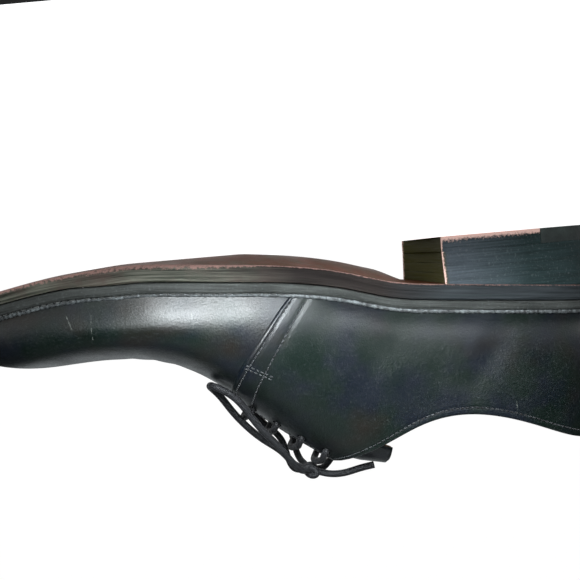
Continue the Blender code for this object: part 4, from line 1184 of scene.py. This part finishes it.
def punch_eyelets(piece):
    """Cuts the eyelets' holes through a piece."""
    radius = EYELET_HOLE / 2 * MM
    bm = bmesh.new()
    for side in SIDES:
        for place, normal in EYELET_PLACES[side]:
            turn = Vector(normal).to_track_quat("Z", "Y").to_matrix().to_4x4()
            spot = Matrix.Translation(Vector(placed(place - normal * WALL_QUARTER / 2)))
            bmesh.ops.create_cone(bm, cap_ends=True, segments=PUNCH_SIDES, depth=3 * WALL_QUARTER * MM,
                                  radius1=radius, radius2=radius, matrix=spot @ turn)
    mesh = bpy.data.meshes.new("eyelet_punch")
    bm.to_mesh(mesh)
    bm.free()
    punch = linked("eyelet_punch", mesh)
    cut = piece.modifiers.new("eyelets", "BOOLEAN")
    cut.operation = "DIFFERENCE"
    cut.object = punch
    seen = bpy.context.evaluated_depsgraph_get()
    holed = bpy.data.meshes.new_from_object(piece.evaluated_get(seen))
    piece.modifiers.remove(cut)
    piece.data = holed
    bpy.data.objects.remove(punch)


def make_vamp(finishes):
    """Vamp from under the quarters over the toe, its columns closing up to a point at the tip."""
    turn = np.linspace(0, 1, VAMP_COLUMNS) * np.pi / 2
    start = SEAM_FOOT - VAMP_UNDER
    feet = start + (TIP - start) * np.sin(turn)
    fine = np.linspace(0, 1, 2 * FINE)
    sides = []
    for side in SIDES:
        run = along(column_point(side, feet[:, None], fine))
        at = run[:, -1:] * np.linspace(0, 1, VAMP_ROWS)
        rises = np.array([np.interp(a, r + 1e-9 * np.arange(len(r)), fine) for a, r in zip(at, run)])
        sides.append(column_point(side, feet[:, None], rises))
    points = np.concatenate([sides[0], sides[1][:, ::-1][:, 1:]], axis=1)
    normal = grid_normal(points)
    normal[-1] = (1, 0, 0)
    outer = points + normal * (WALL_VAMP + vamp_flex(points))[..., None]
    inner = points.copy()
    for face in (inner, outer):
        face[:, (0, -1), 2] -= FOOT_DOWN
    make_wall("vamp", "upper", inner, outer, finishes)


def make_tongue(finishes):
    """Tongue on the last's crown under the facings, leaning back past their tops, with rounded edges."""
    stations = np.linspace(TONGUE_FORM["ahead"][0], TONGUE_FORM["ahead"][-1], TONGUE_GRID[0])
    half = np.interp(-stations, -np.array(TONGUE_FORM["ahead"], float), TONGUE_FORM["half_width"])
    shares = np.sin(np.linspace(-1, 1, TONGUE_GRID[1]) * np.pi / 2)
    axis = ridge_across(np.maximum(stations, TONGUE_BEND))
    across = axis[:, None] + half[:, None] * shares
    up = np.array([[tongue_up(a, c) for c in row] for a, row in zip(stations, across)])
    points = np.stack([np.broadcast_to(stations[:, None], up.shape), across, up], -1)
    normal = grid_normal(points)
    normal = normal * np.sign(normal[..., 2:])
    border = np.minimum(half[:, None] * (1 - np.abs(shares)), (stations - stations[-1])[:, None])
    round_in = drawn_in(border, TONGUE_ROUND)
    outer = points - normal * (TONGUE_CLEAR + round_in)[..., None]
    inner = points - normal * (TONGUE_CLEAR + TONGUE - round_in)[..., None]
    make_wall("dressed_tongue", "tongue", inner, outer, finishes)


def make_bead(finish):
    """Seam bead where the upper meets the welt: a ring round the shoe whose radius waves along it."""
    share = ease(EDGE[:, 0], SEAM_FOOT - BEAD_STEP, SEAM_FOOT + BEAD_STEP)
    wall = WALL_QUARTER + (WALL_VAMP - WALL_QUARTER) * share
    run = along(EDGE)
    out = np.column_stack([EDGE_NORMAL, 0 * run])
    middle = np.column_stack([EDGE - EDGE_NORMAL * (LAST_INSET - wall - BEAD_PLACE[0])[:, None],
                              outsole_top(EDGE[:, 0]) + GAP + WELT + BEAD_PLACE[1]])
    wave = BEAD_WAVE[0] * np.sin(2 * np.pi * run / BEAD_WAVE[1])
    radius = BEAD_RADIUS + wave + BEAD_UNEVEN[0] * ripple(run, BEAD_UNEVEN[1], BEAD_SEED)
    ring = rings(out, np.broadcast_to(UPWARD, out.shape), BEAD_SIDES)
    points = middle[:, None] + ring * radius[:, None, None]
    faces = grid_faces(len(run), BEAD_SIDES, wrap_columns=True, wrap_rows=True)
    make_piece("seam_bead", points, faces, [finish])


# Stitches

STITCH = {                     # sections of a stitch: place along it, width and rise
    "place": (-0.5, -0.4, 0.0, 0.4, 0.5),
    "wide": (0.35, 0.9, 1.0, 0.9, 0.35),
    "hump": (-0.9, 0.0, 0.35, 0.0, -0.9),
}
STITCH_SHARE, STITCH_SIDES, SUNK = 0.78, 6, 0.1
SEAM_ROW_ENDS, BACK_CLEAR, TACK_STEPS = (0.04, 0.97), 1.5, 12
WELT_ROW = {"inset": 2.4, "rise": 0.05, "pitch": 3.0, "thick": 0.42}


def stitch_mesh(path, normals, pitch, thick):
    """Row of stitches: short capsules along a path, each humped out along the normal, its ends dipping."""
    run = along(path)
    at = np.arange(pitch / 2, run[-1], pitch)
    middle = read_along(at, run, path)
    ahead = unit(read_along(at, run, np.gradient(path, axis=0)))
    out = unit(read_along(at, run, normals))
    place = np.array(STITCH["place"]) * STITCH_SHARE * pitch
    wide = np.array(STITCH["wide"]) * thick
    hump = np.array(STITCH["hump"]) * thick
    ring = rings(np.cross(ahead, out), out, STITCH_SIDES)
    spine = middle[:, None] + place[:, None] * ahead[:, None] + hump[:, None] * out[:, None]
    points = spine[:, :, None] + ring[:, None] * wide[:, None, None]
    size = len(place) * STITCH_SIDES
    one = [tuple(face) for face in grid_faces(len(place), STITCH_SIDES, wrap_rows=True)]
    one += [tuple(range(STITCH_SIDES)), tuple(range(size - STITCH_SIDES, size))]
    faces = [tuple(v + size * n for v in face) for n in range(len(at)) for face in one]
    return points.reshape(-1, 3), faces


def quarter_line(side, feet, inset):
    """Places on the quarter's outer face and their normals, at distances below the cut edge."""
    columns = zip(feet, edge_rise(side, feet), np.broadcast_to(inset, feet.shape))
    rises = np.array([rise_below(side, *column) for column in columns])
    normal = surface_normal(side, feet, rises)
    place = column_point(side, feet, rises)
    return place + normal * (WALL_QUARTER - SUNK + quarter_dents(place))[:, None], normal


def make_stitches(fine_thread, welt_thread):
    """Rows beside the quarters' front edges and below the cut edge, bar tacks, and the welt's stitches."""
    rows = []
    for side in SIDES:
        for row in SEAM_ROWS:
            foot = SEAM_FOOT - row / SEAM_LEAN
            low, high = SEAM_ROW_ENDS
            rises = np.linspace(low, edge_rise(side, np.array([foot]))[0] * high, FINE)
            normal = surface_normal(side, foot + 0 * rises, rises)
            place = column_point(side, foot + 0 * rises, rises)
            rows.append((place + normal * (WALL_QUARTER - SUNK), normal))
        feet = np.linspace(SEAM_FOOT - EDGE_ROW, HEEL_BACK_STATION + BACK_CLEAR, 2 * FINE)
        rows.append(quarter_line(side, feet, EDGE_ROW))
        for more in BAR_TACK_ROWS:
            feet = SEAM_FOOT - np.linspace(*BAR_TACK, TACK_STEPS) / SEAM_LEAN
            rows.append(quarter_line(side, feet, np.linspace(*BAR_TACK_DEPTH, TACK_STEPS) + more))
    points, faces = joined([stitch_mesh(path, normal, PITCH, THREAD) for path, normal in rows])
    make_piece("upper_stitches", points, faces, [fine_thread])
    loop = rim(WELT_ROW["inset"])[0]
    path = np.column_stack([loop, outsole_top(loop[:, 0]) + GAP + WELT + WELT_ROW["rise"]])
    path = np.vstack([path, path[:1]])
    normals = np.broadcast_to(UPWARD, path.shape)
    points, faces = stitch_mesh(path, normals, WELT_ROW["pitch"], WELT_ROW["thick"])
    make_piece("welt_stitches", points, faces, [welt_thread])


# Studio

FLOOR_SIZE, FLOOR_UP, FLOOR_DYE, WORLD_STRENGTH = 22.0, -0.0002, (0.86, 0.86, 0.86), 0.02
SURROUND_REACH, SURROUND_HEIGHT, SURROUND_SIDES = 10.0, (-1.0, 8.0), 64
LIGHT_COLOUR = (0.90, 0.97, 1.0)
LIGHTS = {                     # place, aim, size, watts
    "low_front": ((0.16, -0.75, 0.08), (0.08, 0.0, 0.03), (0.36, 0.18), 6.0),
    "floor_strip": ((0.006, -0.142, 0.0015), (0.006, -0.142, 1.0), (0.11, 0.11), 2.9),
    "floor_fade": ((0.006, -0.225, 0.0015), (0.006, -0.225, 1.0), (0.12, 0.06), 0.45),
    "quarter_strip": ((-0.085, -0.105, 0.0015), (-0.085, -0.105, 1.0), (0.09, 0.04), 0.15),
    "back_soft": ((0.1, 0.9, 0.7), (0.0, 0.0, 0.04), (0.9, 0.7), 1.5),
    "overhead": ((-0.1, -0.15, 1.2), (0.0, 0.0, 0.0), (1.3, 1.0), 2.5),
}


def plain_sheet(name, corners, material, faces=((0, 1, 2, 3),)):
    """Sheet of the studio, not part of the shoe."""
    mesh = bpy.data.meshes.new(name)
    mesh.from_pydata(corners, [], [tuple(face) for face in faces])
    mesh.materials.append(material)
    sheet = linked(name, mesh)
    return sheet


def make_studio():
    """Pale floor like a light table, a far white wall that lights nothing, soft lights and a dim surround."""
    glow = {"Emission Color": full((1, 1, 1)), "Emission Strength": 1.0}
    pale = principled("pale_floor", {"Base Color": full(FLOOR_DYE), "Specular IOR Level": 0.0, **glow})[0]
    white = principled("white_wall", {"Base Color": full((0, 0, 0)), **glow})[0]
    s = FLOOR_SIZE / 2
    plain_sheet("floor", [(x, y, FLOOR_UP) for x, y in ((-s, -s), (s, -s), (s, s), (-s, s))], pale)
    turn, up = np.meshgrid(turns(SURROUND_SIDES), SURROUND_HEIGHT, indexing="ij")
    ring = np.stack([SURROUND_REACH * np.cos(turn), SURROUND_REACH * np.sin(turn), up], -1).reshape(-1, 3)
    round_wall = plain_sheet("surround", ring, white, grid_faces(SURROUND_SIDES, 2, wrap_columns=True))
    round_wall.visible_glossy = round_wall.visible_diffuse = round_wall.visible_shadow = False
    for name, (place, aim, size, watts) in LIGHTS.items():
        data = bpy.data.lights.new(name, "AREA")
        data.shape = "RECTANGLE"
        data.size, data.size_y, data.energy = *size, watts
        data.color = LIGHT_COLOUR
        light = linked(name, data)
        turn = (Vector(aim) - Vector(place)).to_track_quat("-Z", "Y").to_matrix().to_4x4()
        light.matrix_world = Matrix.Translation(place) @ turn
    world = bpy.data.worlds.new("surround")
    world.use_nodes = True
    background = world.node_tree.nodes["Background"].inputs
    background["Color"].default_value = full((1.0, 1.0, 1.0))
    background["Strength"].default_value = WORLD_STRENGTH
    bpy.context.scene.world = world
    bpy.context.scene.view_settings.view_transform = "Standard"


make_camera()
lace = waxed_cord()
make_bow(lace)
make_knot(lace)
make_bars(lace)
calf_and_lining = [black_leather(), plain_finish("tan_lining")]
make_quarters(calf_and_lining)
make_vamp(calf_and_lining)
make_tongue(calf_and_lining)
make_outsole(sole_leather())
make_welt(edge_leather("welt_edge"))
make_heel(edge_leather("stacked_edge"), plain_finish("heel_rubber"))
make_insole(calf_and_lining[1])
make_bead(plain_finish("seam_bead"))
make_stitches(plain_finish("black_thread"), plain_finish("welt_thread"))
make_studio()
